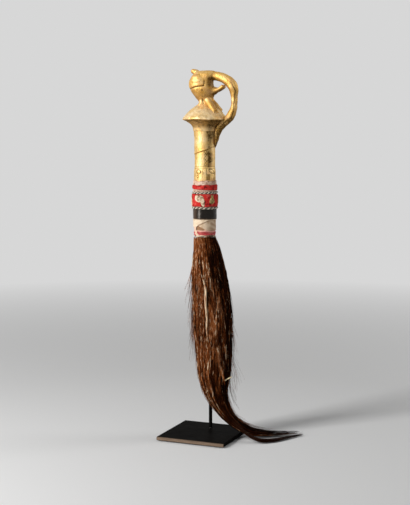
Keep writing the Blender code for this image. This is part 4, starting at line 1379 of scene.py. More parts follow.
    def sleeve(
        self, level: str, low: Array, top: Array, radius: tuple, seed: int, rows: int, chased: bool
    ) -> None:
        """One gold sheet as a closed sleeve: up its outside, over a rounded edge and down its inside.

        Args:
            level: Whether it is the upper or the lower sheet, as its name says.
            low: The lower edge's height at each angle.
            top: The upper edge's height.
            radius: The outer radius, as in the fields.
            seed: Which set of drapes.
            rows: Rows up the outside.
            chased: Whether it carries the chased lines.
        """
        turn = self.turns()
        height = low + (top - low) * np.linspace(0, 1, rows)[:, None]
        cut = self.chasing(turn, height) if chased else 0 * height
        outer = radius[0] + radius[1] * ease(height, *radius[2:])
        outer = outer + self.drapes(turn, height, seed) - ease(height - low, 0.0010, 0.0) * 0.00030
        outer = outer - self.line_depth * cut
        if not chased:
            outer = outer + hump(height - low - 0.0014, 0.0010) * 0.00045
        heights = np.vstack([height, height[-1:], height[:1]])
        grid = around(np.vstack([outer, np.full((2, self.columns), self.inner_radius)]), heights, turn)
        slow = ripple(grid, seed + 3, 0.03, 0.008)
        hollow = np.vstack([0.85 * share_of(cut), np.ones((2, self.columns))])
        # Painted shade: a dark upright band a little right of the front, and darkening just under the collar;
        # the slow ripple adds soiling.
        streak = gap_between(turn, FRONT + math.radians(23) + 0.05 * np.sin(heights * 260))
        painted_shade_band = 0.95 * hump(streak, 0.31) * ease(heights, 0.3810, 0.3860) * (0.85 + 0.3 * slow)
        shadowed = 0.42 * ease(heights, 0.4200, 0.4330) * ease(streak, -0.4, 0.0)
        hollow = share_of(hollow + 0.26 * ease(slow, 0.25, 0.8) + painted_shade_band + shadowed)
        worn = ease(ripple(grid, seed + 5, 0.02, 0.008), 0.3, 0.8) * 0.35
        if chased:
            # Painted shadow: a dark line just under the upper sheet's lapped edge, stronger left of the band.
            seen = 0.35 + 0.65 * ease(streak, 0.1, -0.3)
            hollow = share_of(hollow + 0.75 * seen * hump(heights - self.lap(turn) + 0.0003, 0.0006))
            worn = worn + ease(heights, 0.3680, 0.3650) * 0.6
        shell = skin(grid, (95, 70), hollow=hollow, worn=share_of(worn))
        piece(f"gold_wrap_{level}", shell, SHEET_GOLD, Body.HANDLE, f"gold_sheet_{level}")

    def build(self) -> None:
        """Collar, then the upper sheet over the lower one."""
        self.collar()
        turn = self.turns()
        edge = self.lap(turn)
        foot = self.foot + 0.0005 * np.sin(3 * turn + 2) + 0.0003 * np.sin(8 * turn)
        self.sleeve("upper", edge, np.full_like(turn, self.top), self.upper_radius, 21, 76, False)
        self.sleeve("lower", foot, edge + self.lap_over, self.lower_radius, 31, 150, True)


@dataclass
class Wrappings:
    """Everything wound round the handle below the gold: cloth, red bands with motifs, cords, leather, hide,
    threads and the pale tongue of skin.

    flap_edge and strip_edge are the two hides' lower edges: degrees from the front, above 0 on the right, and
    the heights there in tenths of a millimetre.
    """

    columns: int = 260
    motif_height: float = 0.3383
    motif_ring: float = 0.0184
    motif_base: float = 0.0180
    motif_face: float = 0.01835
    motif_rise: float = 0.00055
    motif_turns: tuple[float, ...] = (-90, -34, 24, 144, 196)
    motif_kinds: tuple[Motif, ...] = (Motif.FIGURE, Motif.BELL, Motif.BELL, Motif.BELL, Motif.FIGURE)
    leather_foot: float = 0.3110
    hide_top: float = 0.3108
    flap_edge: Rows = (
        (-180, -120, -75, -44, -36, -16, 14, 24, 100, 160, 180),
        (2996, 2994, 2996, 3006, 3028, 3052, 3092, 3098, 3098, 3010, 2996),
    )
    strip_edge: Rows = (
        (-180, -60, -40, -24, -11, 4, 13, 20, 52, 110, 180),
        (2966, 2990, 3020, 3004, 2984, 2976, 2968, 2950, 2964, 2960, 2966),
    )
    winds: float = 5.6

    def turns(self) -> Array:
        """The columns' angles round the handle."""
        return turns(self.columns, -math.pi)

    def cord_turns(self) -> Array:
        """The angles of a cord's line, which goes round once."""
        return np.linspace(0.6, 0.6 + math.tau * 0.995, 240)

    def band(
        self, name: str, node: str, low: Array, top: Array, radii: Pair, finish: Finish, seed: int,
        edge: float = 0.0007, swell: float = 0.00018, rows: int = 44, dirt_and_shade: Callable | None = None,
    ) -> bpy.types.Object:
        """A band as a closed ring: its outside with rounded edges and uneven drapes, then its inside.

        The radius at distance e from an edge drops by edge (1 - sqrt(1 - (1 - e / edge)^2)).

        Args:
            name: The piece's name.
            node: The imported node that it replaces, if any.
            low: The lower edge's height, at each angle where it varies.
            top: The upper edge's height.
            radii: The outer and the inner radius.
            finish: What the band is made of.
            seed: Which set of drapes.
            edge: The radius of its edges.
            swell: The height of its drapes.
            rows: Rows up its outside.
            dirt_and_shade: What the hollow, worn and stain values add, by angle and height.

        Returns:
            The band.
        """
        turn, (outer, inner) = self.turns(), radii
        low, top = low + 0 * turn, top + 0 * turn
        height = low + (top - low) * (1 - np.cos(np.linspace(0, math.pi, rows)))[:, None] / 2
        drop = share_of(1 - np.minimum(height - low, top - height) / edge)
        flat = around(outer, height, turn)
        uneven = ripple(flat * np.array((1, 1, 1.4)), seed, 0.020, 0.006)
        radius = outer - edge * (1 - np.sqrt(1 - drop**2))
        radius = radius + swell * uneven + swell * 0.3 * ripple(flat, seed + 1, 0.004, 0.0018)
        heights = np.vstack([height, height[-1:], height[:1]])
        grid = around(np.vstack([radius, np.full((2, self.columns), inner)]), heights, turn)
        # On cloth, painted shade darkens the rounded edges and the drapes' lows; the added values hold stains
        # and, on the hides and the leather, painted shade and light.
        base = np.vstack([0.35 * drop**2 + 0.25 * ease(uneven, -0.2, -0.9), np.ones((2, self.columns))])
        extra = dirt_and_shade(turn, heights) if dirt_and_shade else 0 * base
        soil_and_shade = base + extra if isinstance(finish, Cloth) else base
        values = {"hollow": share_of(soil_and_shade), "worn": share_of(extra), "stain": share_of(extra)}
        size = (math.tau * outer * MILLIMETRES, float((top - low).mean()) * MILLIMETRES * 1.15)
        return piece(name, skin(grid, size, **values), finish, Body.HANDLE, node)

    def twist(
        self, name: str, node: str, ring: float, height: Array, thick: float, pitch: float, finish: Finish
    ) -> None:
        """A twisted cord wound round the handle: each ply is a bar on a helix round the cord's line.

        The cord's line is at angle a, radius ring and height(a). Ply k is offset from it by thick (cos b,
        sin b) in the outward and upward directions, with b = length / pitch + k / 2 of a whole turn.

        Args:
            name: The piece's name.
            node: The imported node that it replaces, if any.
            ring: The radius of the cord's line.
            height: The line's height at each of the cord's angles.
            thick: A ply's distance from the line, which is about its radius too.
            pitch: The length in which the plies go once round.
            finish: The cord's finish.
        """
        turn = self.cord_turns()
        middle, out = around(ring, height, turn), outward(turn)
        shells = []
        for ply in range(2):
            spin = (turn * ring / pitch * math.tau + ply * math.pi)[:, None]
            line = middle + thick * (np.cos(spin) * out + np.sin(spin) * UP)
            shell = bar(line, np.full(len(turn), thick * 1.08), 9, UP)
            shell.values["ply"] = np.full(len(shell.points), float(ply))
            shell.chart = shell.chart * np.array((thick * 6300, math.tau * ring * MILLIMETRES))
            shells.append(shell)
        piece(name, joined(shells), finish, Body.HANDLE, node)

    def laid(self, radius: Array, flat: Array, middle: float) -> Array:
        """Points of a flat shape laid round the handle at the motifs' height."""
        return around(radius, self.motif_height + flat[..., 1], middle + flat[..., 0] / self.motif_ring)

    def motif(self, number: int, degrees: float, kind: Motif) -> bpy.types.Object:
        """A cut cloth shape sewn to the wide band: a low cushion over a curved outline.

        The outline is a closed smooth curve of distances from the middle. At share s of the way out, the
        cloth stands 0.55 (1 - s^6) mm over its rim, and it bends round the handle with the band.

        Args:
            number: Which patch it stands for.
            degrees: Its middle's angle round the handle.
            kind: Which shape.

        Returns:
            The motif.
        """
        knots = np.array(OUTLINES[kind]) / MILLIMETRES
        size = len(knots)
        edge = spline(np.vstack([knots[-2:], knots, knots[:2]]), 20 * (size + 3) + 1)[30 : 30 + 20 * size : 2]
        centre = edge.mean(0) * (1.0 if kind is Motif.BELL else 0.4)
        share = np.sin(np.linspace(0.06, 1, 16) * math.pi / 2)[::-1, None]
        flat = centre + (edge - centre) * share[..., None]
        flat = np.concatenate([flat[:1], flat])
        lift = np.concatenate([[[self.motif_base]], self.motif_face + self.motif_rise * (1 - share**6)])
        spots = np.zeros(flat.shape[:2])
        for across, up, width in SPOTS[kind]:
            spots += hump(np.hypot(flat[..., 0] - across, flat[..., 1] - up), width)
        rim = ease(share, 0.90, 1.0) * 0.5
        hollow = share_of(spots * 0.95 + np.concatenate([rim[:1], rim]))
        middle = math.radians(degrees)
        points = self.laid(lift + 0.00006 * ripple(flat, 60 + number, 0.004, 0.0015), flat, middle)
        ends = (self.laid(self.motif_base, centre, middle), self.laid(lift[-1, 0], centre, middle))
        shell = skin(points[:, ::-1], (14, 14), ends, hollow=hollow[:, ::-1])
        spread = np.vstack([flat[:, ::-1].reshape(-1, 2), centre, centre]) * MILLIMETRES
        shell.chart = spread[np.concatenate([shell.quads.ravel(), shell.triangles.ravel()])]
        # The bells take the darker cloth, partly as painted shade.
        finish = SHADED_TAN if kind is Motif.BELL else CREAM
        return piece(f"motif_{number}", shell, finish, Body.HANDLE, f"patch_{number}")

    def tongue(self) -> None:
        """The pale strip of skin that hangs from under the hide over the threads, as a flat bar."""
        share = np.linspace(0, 1, 40)
        turn = FRONT + np.radians(mix(-62.0, -38.0, ease(share, 0.35, 1.0)))
        radius = 0.01545 + 0.0002 * np.sin(share * 9) - 0.0006 * ease(share, 0.75, 1.0)
        line = around(radius, mix(0.3010, 0.2862, share), turn)
        width = mix(0.0030, 0.0020, share**1.5) * (1 + 0.1 * np.sin(share * 14))
        out = outward(turn)
        sideways = np.cross(out, unit(np.gradient(line, axis=0)))
        corner = turns(20)
        reach = width[:, None] * squarer(np.cos(corner), 0.5)
        lift = np.sin(corner) * 0.00042 - reach**2 / (2 * 0.0152)
        grid = line[:, None] - reach[..., None] * sideways[:, None] + lift[..., None] * out[:, None]
        shell = skin(grid[:, ::-1], (10, 18), (line[0], line[-1]), stain=np.zeros(grid.shape[:2]))
        piece("hide_tongue", shell, BROWN_HIDE, Body.HANDLE)

    def cloth(self) -> None:
        """The pale cloth under the bands, the two red bands with their motifs, and the hem."""
        turn = self.turns()
        wave = 0.00022 * np.sin(5 * turn + 1) + 0.00015 * np.sin(11 * turn)

        def stained(turn: Array, height: Array) -> Array:
            """Brown smears on the hem, right of the front."""
            blot = ease(ripple(around(0.016, height, turn), 44, 0.012, 0.003), 0.0, 0.6)
            return 0.6 * blot * ease(from_front(turn), -30, 20) + 0.25 * blot

        radii = (0.01585, 0.0147)
        linen = self.band("linen_underwrap", "linen_wrap", 0.3249, 0.3607, radii, LINEN, 41, rows=70)
        top, radii = 0.3645 + 2 * wave, (0.0163, 0.01565)
        hem_piece = self.band("linen_hem", "", 0.3578, top, radii, LINEN, 43, 0.0006, 0.00022, 30, stained)
        slant, radii = rightward(turn), (0.0176, 0.0160)
        low, top = 0.3520 - 0.0009 * slant, 0.3588 + 0.0003 * slant + wave
        narrow = self.band("red_roll", "red_band_narrow", low, top, radii, RED, 45, 0.0014, 0.00024)
        low, top, radii = 0.3286 - wave, 0.3462 + wave, (0.0182, 0.0168)
        wide = self.band("red_cloth_band", "red_band_wide", low, top, radii, RED, 47, 0.0012, 0.00026, 60)
        places = zip(self.motif_turns, self.motif_kinds)
        motifs = [self.motif(number, *placed) for number, placed in enumerate(places, 1)]

    def cords(self) -> None:
        """The cords over and under the wide band, and the thin one under the narrow roll."""
        turn = self.cord_turns()
        over, under = 0.3479 + 0.0003 * rightward(turn), 0.3267 + 0.0002 * np.sin(2 * turn)
        self.twist("cord_over_band", "cord_upper", 0.0170, over, 0.00062, 0.0054, PIED_CORD)
        self.twist("cord_under_band", "cord_lower", 0.0171, under, 0.00068, 0.0062, PIED_CORD)
        self.twist("hem_cord", "", 0.0165, 0.3509 + 0.0002 * np.sin(3 * turn), 0.00042, 0.0030, CREAM_CORD)

    def leather(self) -> None:
        """The polished black band, brown along its lower edge, with painted light down its left side."""
        low = self.leather_foot - 0.0004 * rightward(self.turns())

        def browned_and_lit_left(turn: Array, height: Array) -> Array:
            """Brown wear that fades 1.5 mm up from the lower edge, and painted light down the left side."""
            left = ease(from_front(turn), -30, -60)
            return share_of(0.75 * ease(height - low, 0.0016, 0.0002) + 0.5 * left)

        top, radii, dark = 0.3247, (0.0167, 0.0150), BLACK_LEATHER
        self.band("polished_band", "leather_band", low, top, radii, dark, 51, 0.0006, 0.00010, dirt_and_shade=browned_and_lit_left)

    def edge(self, rows: Rows, reach: int) -> Array:
        """A hide's lower edge, smoothed round the handle.

        Args:
            rows: Degrees from the front, and the heights there in tenths of a millimetre.
            reach: How many columns to each side are averaged.

        Returns:
            The height at each column.
        """
        height = np.interp(from_front(self.turns()), *rows) / (10 * MILLIMETRES)
        width = 2 * reach + 1
        return np.convolve(np.r_[height[-reach:], height, height[:reach]], np.ones(width) / width, "valid")

    def hides(self) -> None:
        """The two pale strips with their slanting flap, and the skin at the root of the tail."""
        rise, dip = self.edge(self.flap_edge, 5), self.edge(self.strip_edge, 3)

        def shade(turn: Array, height: Array) -> Array:
            """Painted shade down the lower strip's right side, and a painted shadow under the flap's edge."""
            front = from_front(turn)
            side = 0.55 * within(front, 8, 45, 80, 120) * (0.6 + 0.4 * np.sin(height * 900 + front * 0.1))
            line = within(front, -60, -40, 18, 30) * hump(height - rise + 0.0005, 0.0007)
            return 0.18 + side + 0.8 * line

        def patch(turn: Array, height: Array) -> Array:
            """The brown patch under the flap, fading down and sideways, and painted shade round the right."""
            front = from_front(turn)
            brown = within(front, -62, -48, -10, 6) * ease(height, 0.2945, 0.2965)
            return brown + 0.55 * within(front, 0, 30, 120, 170)

        top, radii, hide = self.hide_top, (0.01625, 0.01555), PALE_HIDE
        self.band("hide_flap", "hide_strip_upper", rise, top, radii, hide, 53, 0.0004, 0.00020, 40)
        top, radii = top - 0.0004, (0.01545, 0.0147)
        self.band("hide_wrap", "hide_strip_lower", dip, top, radii, hide, 55, 0.0004, 0.00022, 40, shade)
        low, top, radii, hide = 0.2853, 0.3040, (0.0146, 0.0100), BROWN_HIDE
        self.band("tail_root_skin", "hide_sleeve", low, top, radii, hide, 57, 0.0012, 0.00022, 40, patch)
        self.tongue()

    def threads(self) -> None:
        """The red winding with its pale first turns, and the green and white cord under it."""
        count = 900
        turn, share = np.linspace(0.4, 0.4 + math.tau * self.winds, count), np.linspace(0, 1, count)
        height = mix(0.2950, 0.2884, share) + 0.00032 * np.sin(turn * 1.7) + 0.00018 * np.sin(turn * 4.3)
        radius = 0.01480 + 0.00032 * np.sin(turn * 2.3 + 1) + 0.00012 * np.sin(turn * 5.1)
        shell = bar(around(radius, height, turn), np.full(count, 0.00062), 9, UP)
        pale = np.repeat(ease(share, 0.34, 0.20) * 0.8, 9)
        shell.values["ply"] = np.concatenate([pale, [0.8, 0.0]])
        shell.chart = shell.chart * np.array((4.0, math.tau * 14.7 * self.winds))
        piece("red_winding", shell, RED_THREAD, Body.HANDLE, "thread_red")
        slanting = 0.2866 - 0.0007 * rightward(self.cord_turns())
        self.twist("green_winding", "thread_green", 0.0151, slanting, 0.00040, 0.0110, GREEN_CORD)

    def build(self) -> None:
        """Wrap the handle from the gold down to the hair."""
        self.cloth()
        self.cords()
        self.leather()
        self.hides()
        self.threads()


@dataclass
class Tail:
    """The hair: strands in clumps round a dark core, locks, loose hairs and tufts, and a bit of straw.

    A station is a distance along the sweep, a height, half the width, half the depth and a shift across the
    sweep. A row of floor_line is a distance along the sweep, one across it, a height, half the width and half
    the depth. A row of loose_groups is a count, an angle in the cross-section, where along the tail the hairs
    start, how much they sway, how far they run and how far they stand out. The spots are distances along the
    sweep with heights, and a row of survival is the share of hairs that reach that far along the tail.
    """

    stations: Rows = (
        (0.0000, 0.2845, 0.0146, 0.0146, 0.0000), (0.0024, 0.2698, 0.0180, 0.0160, -0.0004),
        (0.0042, 0.2519, 0.0210, 0.0172, -0.0012), (0.0058, 0.2337, 0.0231, 0.0180, -0.0020),
        (0.0077, 0.2156, 0.0248, 0.0186, -0.0026), (0.0096, 0.1973, 0.0255, 0.0189, -0.0030),
        (0.0106, 0.1791, 0.0258, 0.0190, -0.0032), (0.0113, 0.1598, 0.0259, 0.0189, -0.0032),
        (0.0119, 0.1440, 0.0253, 0.0186, -0.0032), (0.0125, 0.1252, 0.0244, 0.0180, -0.0032),
        (0.0130, 0.1051, 0.0235, 0.0172, -0.0032), (0.0133, 0.0885, 0.0219, 0.0164, -0.0034),
        (0.0142, 0.0745, 0.0184, 0.0152, -0.0038), (0.0168, 0.0610, 0.0150, 0.0138, -0.0046),
        (0.0218, 0.0480, 0.0119, 0.0125, -0.0056), (0.0290, 0.0358, 0.0095, 0.0114, -0.0068),
        (0.0374, 0.0258, 0.0078, 0.0106, -0.0082), (0.0470, 0.0178, 0.0068, 0.0100, -0.0098),
        (0.0588, 0.0112, 0.0060, 0.0096, -0.0116), (0.0720, 0.0072, 0.0050, 0.0094, -0.0118),
        (0.0870, 0.0054, 0.0038, 0.0090, -0.0092), (0.1030, 0.0044, 0.0030, 0.0080, -0.0048),
        (0.1200, 0.0036, 0.0022, 0.0066, 0.0006), (0.1415, 0.0028, 0.0014, 0.0046, 0.0066),
    )
    rings: int = 17
    wisp_rings: int = 10
    strand_radius: float = 0.00026
    survival: Rows = ((1.0, 0.44), (0.66, 0.62), (0.42, 0.74), (0.24, 0.84), (0.10, 0.93), (0.0, 1.0))
    floor_line: Rows = (
        (0.0250, -0.0060, 0.0440, 0.0046, 0.0040), (0.0330, -0.0110, 0.0325, 0.0048, 0.0036),
        (0.0420, -0.0180, 0.0230, 0.0052, 0.0032), (0.0520, -0.0260, 0.0150, 0.0058, 0.0028),
        (0.0620, -0.0335, 0.0085, 0.0066, 0.0024), (0.0720, -0.0385, 0.0048, 0.0074, 0.0022),
        (0.0810, -0.0405, 0.0034, 0.0074, 0.0020), (0.0970, -0.0350, 0.0028, 0.0066, 0.0016),
        (0.1130, -0.0235, 0.0024, 0.0054, 0.0012), (0.1260, -0.0125, 0.0020, 0.0040, 0.0010),
        (0.1415, -0.0010, 0.0018, 0.0022, 0.0008),
    )
    loose_groups: Rows = (
        (60, 2.85, 0.10, 0.8, 0.22, 0.30), (110, 3.0, 0.17, 0.34, 0.13, 0.62),
        (60, 3.0, 0.38, 0.30, 0.16, 0.30), (50, 0.1, 0.16, 0.5, 0.20, 0.30),
        (44, -0.1, 0.36, 0.30, 0.14, 0.22), (90, -0.25, 0.50, 0.42, 0.13, 1.50),
        (110, -1.57, 0.3, 1.2, 0.2, 0.10), (60, 1.57, 0.4, 1.0, 0.2, 0.06),
    )
    pale_spots: Rows = (
        (-0.0054, 0.2366), (-0.0010, 0.2234), (0.0013, 0.2137), (0.0010, 0.1996), (0.0017, 0.1869),
        (0.0030, 0.1727), (0.0024, 0.1593), (0.0040, 0.1386),
    )
    light_spots: Rows = (
        (0.0135, 0.1340), (0.0160, 0.1220), (0.0187, 0.1110),
        (0.0232, 0.0980), (0.0266, 0.0860), (0.0285, 0.0740),
    )
    pinkish_spots: Rows = (
        (0.0046, 0.2060), (0.0076, 0.1900), (0.0100, 0.1740),
        (0.0116, 0.1580), (0.0122, 0.1400), (0.0128, 0.1200),
    )
    seed: int = 2065
    bend_start: float = 0.2850
    bend_end: float = 0.2350
    binding: float = 0.30
    back_limit: float = 0.0158
    plate_reach: float = 0.0508
    plate_top: float = 0.0062
    least_height: float = 0.0006
    core_share: float = 0.80
    curve: Array = field(init=False)

    def __post_init__(self) -> None:
        """Lay the tail's curve: rows of middle line, broad direction, half width and half depth."""
        fine = spline(self.stations, 600)
        steps = np.hypot(np.diff(fine[:, 0]), np.diff(fine[:, 1]))
        length = np.concatenate([[0], np.cumsum(steps)])
        even = np.linspace(0, length[-1], 400)
        along, height, width, depth, shift = (np.interp(even, length, column) for column in fine.T)
        flat = along[:, None] * SWEEP + height[:, None] * UP
        broad = np.cross(unit(np.gradient(flat, axis=0)), ACROSS)
        broad = broad * np.where(broad @ SWEEP < 0, -1, 1)[:, None]
        broad = broad * np.where((broad @ SWEEP < 0.02) & (broad @ UP < 0), -1, 1)[:, None]
        self.curve = np.column_stack([AXIS + flat + shift[:, None] * ACROSS, broad, width, depth])

    def at(self, share: Array, wide: Array, deep: Array) -> Array:
        """Points of the tail: line(t) + wide w(t) broad(t) + deep d(t) across.

        Args:
            share: How far along the curve, from 0 to 1.
            wide: Place across the sweep's plane, from -1 to 1.
            deep: Place through it, from -1, in front, to 1.

        Returns:
            The points, with a last axis of three.
        """
        here = between(self.curve, share_of(share) * (len(self.curve) - 1))
        line, broad, width, depth = here[..., :3], here[..., 3:6], here[..., 6], here[..., 7]
        return line + (wide * width)[..., None] * broad + (deep * depth)[..., None] * ACROSS

    def strands(self, lines: Array, radii: Array, tint: Array) -> Shell:
        """Three-sided bars along many lines at once.

        Args:
            lines: Strands by rings by three.
            radii: Strands by rings.
            tint: Strands by rings.

        Returns:
            One shell of all of them, with their tints.
        """
        count, rings = lines.shape[:2]
        forward = unit(np.gradient(lines, axis=1))
        first = unit(ACROSS - (forward @ ACROSS)[..., None] * forward)
        second = np.cross(forward, first)
        turn = (np.arange(3) * math.tau / 3 + 0.5)[:, None]
        spokes = np.cos(turn) * first[..., None, :] + np.sin(turn) * second[..., None, :]
        points = (lines[:, :, None] + radii[..., None, None] * spokes).reshape(-1, 3)
        i, j = np.meshgrid(np.arange(rings - 1) * 3, np.arange(3), indexing="ij")
        after = (j + 1) % 3
        one = np.stack([i + j, i + after, i + 3 + after, i + 3 + j], -1).reshape(-1, 4)
        caps = np.array([[0, 2, 1], [3 * rings - 3, 3 * rings - 2, 3 * rings - 1]])
        starts = np.arange(count)[:, None, None] * rings * 3
        quads, triangles = (one[None] + starts).reshape(-1, 4), (caps[None] + starts).reshape(-1, 3)
        chart = np.zeros((quads.size + triangles.size, 2))
        chart[: quads.size, 1] = quads.ravel() // 3 % rings
        return Shell(points, quads, triangles, chart, {"tint": np.repeat(tint.ravel(), 3)})

    def clumped(self, count: int, sector: Pair, layer: Pair, seed: int) -> Shell:
        """One sector of the hair, in clumps that draw together towards their tips.

        A strand's place in the tail's cross-section starts at a random spot, moves towards its clump's middle
        by a share that grows along it, and wanders by sine waves. Its length is drawn from the survival.

        Args:
            count: How many strands.
            sector: The angles in the cross-section that it fills.
            layer: The least and greatest share of the radius.
            seed: Which set of random numbers.

        Returns:
            The strands.
        """
        chance = np.random.default_rng(seed)
        groups = max(count // 15, 1)
        group_turn = chance.uniform(*sector, groups)
        group_reach = np.sqrt(chance.uniform(layer[0] ** 2, layer[1] ** 2, groups))
        group_tone, group_end = chance.normal(0, 1, groups), chance.uniform(0, 1, groups)
        member = chance.integers(0, groups, count)
        turn = group_turn[member] + chance.normal(0, 0.11, count)
        reach = np.clip(group_reach[member] + chance.normal(0, 0.06, count), layer[0] * 0.9, layer[1] * 1.02)
        survive, ends = np.array(self.survival)[::-1].T
        end = np.interp(0.65 * group_end[member] + 0.35 * chance.uniform(0, 1, count), survive, ends)
        share = end[:, None] * np.linspace(0, 1, self.rings) ** 0.92
        pull = 0.62 * ease(share, 0.0, 0.12) + 0.28 * ease(share, 0.12, 0.8)
        wide = mix((reach * np.cos(turn))[:, None], (group_reach * np.cos(group_turn))[member][:, None], pull)
        deep = mix((reach * np.sin(turn))[:, None], (group_reach * np.sin(group_turn))[member][:, None], pull)
        phase = chance.uniform(0, math.tau, (4, groups))[:, member][..., None]
        own = chance.uniform(0, math.tau, (2, count))[..., None]
        amount = 0.050 * ease(share, 0.01, 0.20) * (0.5 + chance.uniform(0, 1, groups)[member][:, None])
        wide = wide + amount * (np.sin(19 * share + phase[0]) + 0.7 * np.sin(43 * share + phase[1]))
        deep = deep + amount * (np.sin(17 * share + phase[2]) + 0.7 * np.sin(47 * share + phase[3]))
        frizz = 0.022 * ease(share, 0.02, 0.2) * np.exp(chance.normal(0, 0.5, (count, 1)))
        wide = wide + frizz * np.sin(61 * share + own[0])
        deep = deep + frizz * np.sin(67 * share + own[1])
        limit = np.minimum(1.0, 1.10 / np.maximum(np.hypot(wide, deep), 1e-6))
        lines = self.at(share, wide * limit, deep * limit)
        tint = self.tint(share, group_tone[member][:, None], chance.normal(0, 1, (count, 1)), wide, deep)
        radii = self.strand_radius * chance.uniform(0.8, 1.25, (count, 1))
        radii = radii * mix(0.7, 1.0, ease(share, 0, 0.1))
        radii = radii * mix(1.0, 0.35, ease(share / end[:, None], 0.75, 1.0))
        return self.strands(self.clear(lines), radii, tint)

    def tint(self, share: Array, group: Array, own: Array, wide: Array, deep: Array) -> Array:
        """A strand's place on the hair finish's ramp, by clump, by strand and by where it lies, with painted
        light and shade across the tail and a painted highlight on its front.

        Args:
            share: How far along the tail.
            group: A number for each clump.
            own: A number for each strand.
            wide: Place across the tail.
            deep: Place through the tail.

        Returns:
            The tints.
        """
        # Painted light: the left side warmer and lighter; further down, painted shade darkens the right side.
        lit_warm_left = ease(wide, 0.0, -0.55)
        base = 0.280 + 0.20 * lit_warm_left + 0.17 * group + 0.065 * own
        base = base + 0.20 * ease(group, 1.5, 1.9) - 0.09 * ease(wide, 0.2, 0.9)
        base = base - (0.16 + 0.10 * lit_warm_left) * ease(share, 0.44, 0.74)
        base = base - 0.08 * ease(share, 0.24, 0.10) * ease(wide, -0.3, 0.1)
        # Painted highlight on the front, a little right of the middle and a third of the way down.
        glow = hump(np.hypot((wide - 0.12) * 1.6, (share - 0.32) * 4.0), 0.75) * ease(deep, 0.0, -0.6)
        return np.clip(base + 0.23 * glow * (1 + 0.5 * group), 0.03, 0.78)

    def core(self) -> Shell:
        """The hair mass inside, darker than the strands as painted shade between them: rings at 0.8 of the
        tail's size, tapering, with ridges along them.

        Returns:
            The core.
        """
        share = np.concatenate([np.linspace(0.004, 0.86, 80), [0.875, 0.885, 0.89]])[:, None]
        turn = turns(110)
        ridge = np.sin(23 * turn + 3 * np.sin(9 * share))
        size = self.core_share * np.sqrt(np.clip(1 - ease(share, 0.55, 0.895) ** 1.4, 0.02, 1))
        radius = size * (1 + 0.06 * ridge + 0.04 * np.sin(41 * turn + 14 * share))
        place = np.broadcast_to(share, radius.shape)
        grid = self.at(place, radius * np.cos(turn), radius * np.sin(turn))[:, ::-1]
        tint = np.clip(0.10 + 0.06 * ridge - 0.05 * ease(share, 0.4, 0.7), 0.04, 1)
        return skin(grid, (90, 300), (grid[0].mean(0), grid[-1].mean(0)), tint=tint[:, ::-1])

    def hang(self, name: str, shell: Shell, finish: Finish, node: str = "") -> None:
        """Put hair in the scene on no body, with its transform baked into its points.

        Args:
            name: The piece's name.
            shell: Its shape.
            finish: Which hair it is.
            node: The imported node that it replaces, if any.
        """
        made = piece(name, shell, finish, None, node)
        start, end = (0.0, AXIS[1], self.bend_start), (0.0, AXIS[1], self.bend_end)
        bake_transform(made)
        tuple(start)
        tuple(end)

    def drawn(self, spots: Rows, deep: float, count: int, spread: Pair, tint: float, seed: int) -> Shell:
        """A lock through spots of the tail, its strands spread about the middle line.

        A spot's share is where the curve comes down to its height, and its place across is its distance from
        the curve there, in half widths.

        Args:
            spots: Rows of place along the sweep and height.
            deep: Its place through the tail, -1 in front.
            count: How many strands.
            spread: The lock's half width and half depth, as shares of the tail's.
            tint: The strands' tint.
            seed: Which set of random numbers.

        Returns:
            The lock.
        """
        chance = np.random.default_rng(seed)
        (along, height), fall = np.array(spots).T, -self.curve[:, 2]
        known = (np.linspace(0, 1, len(fall)), (self.curve[:, :3] - AXIS) @ SWEEP, self.curve[:, 6])
        place, middle, half = (np.interp(-height, fall, numbers) for numbers in known)
        line = spline(np.stack([place, (along - middle) / half, deep + 0 * place], -1), self.rings)
        turn, reach = chance.uniform(0, math.tau, (count, 1)), np.sqrt(chance.uniform(0, 1, (count, 1)))
        along = np.linspace(0, 1, self.rings)
        body = within(along, -0.05, 0.30, 0.70, 1.05)[None]
        first, last = chance.uniform(0, 0.10, (count, 1)), chance.uniform(0.80, 1.0, (count, 1))
        at = between(line, (first + (last - first) * along) * (self.rings - 1))
        sway = 0.25 * np.sin(9 * along + turn * 3)
        wide = at[..., 1] + spread[0] * body * (reach * np.cos(turn) + sway * 0.5)
        lines = self.at(at[..., 0], wide, at[..., 2] + spread[1] * body * reach * np.sin(turn))
        shade = np.clip(tint + chance.normal(0, 0.05, (count, 1)) + 0 * along, 0.05, 1) - 0.25 * (1 - body)
        radii = self.strand_radius * chance.uniform(0.8, 1.2, (count, 1)) * mix(0.5, 1.0, body)
        return self.strands(lines, radii, shade)

    def loose(self) -> Shell:
        """Hairs that leave the mass: each starts on its outside and drifts away along a slow curve.

        Returns:
            The strands.
        """
        chance = np.random.default_rng(self.seed + 90)
        along = np.linspace(0, 1, self.rings)
        shells = []
        for count, middle, begin, scatter, reach, drift in self.loose_groups:
            bunch = chance.integers(0, max(count // 6, 1), count)[:, None]
            turn = chance.normal(middle, 0.35, (count, 1))[bunch[:, 0]] + chance.normal(0, 0.05, (count, 1))
            start = np.clip(chance.normal(begin, 0.10, (count, 1))[bunch[:, 0]], 0.06, 0.8)
            length = chance.uniform(0.5, 1.0, (count, 1)) * reach * 1.6
            leave = chance.uniform(0.2, 1.0, (count, 1))[bunch[:, 0]] * drift
            out = 0.97 + leave * along**1.5 + 0.02 * np.sin(along * 9 + 2 * bunch) * along
            turn = turn + chance.normal(0, 0.10, (count, 1)) * scatter * along
            lines = self.clear(self.at(start + length * along, out * np.cos(turn), out * np.sin(turn)))
            tint = np.clip(chance.normal(0.42, 0.14, (count, 1)) + 0 * along, 0.1, 0.75)
            radii = np.full((count, self.rings), self.strand_radius * 0.75) * mix(1.0, 0.4, along)
            shells.append(self.strands(lines, radii, tint))
        return joined(shells)

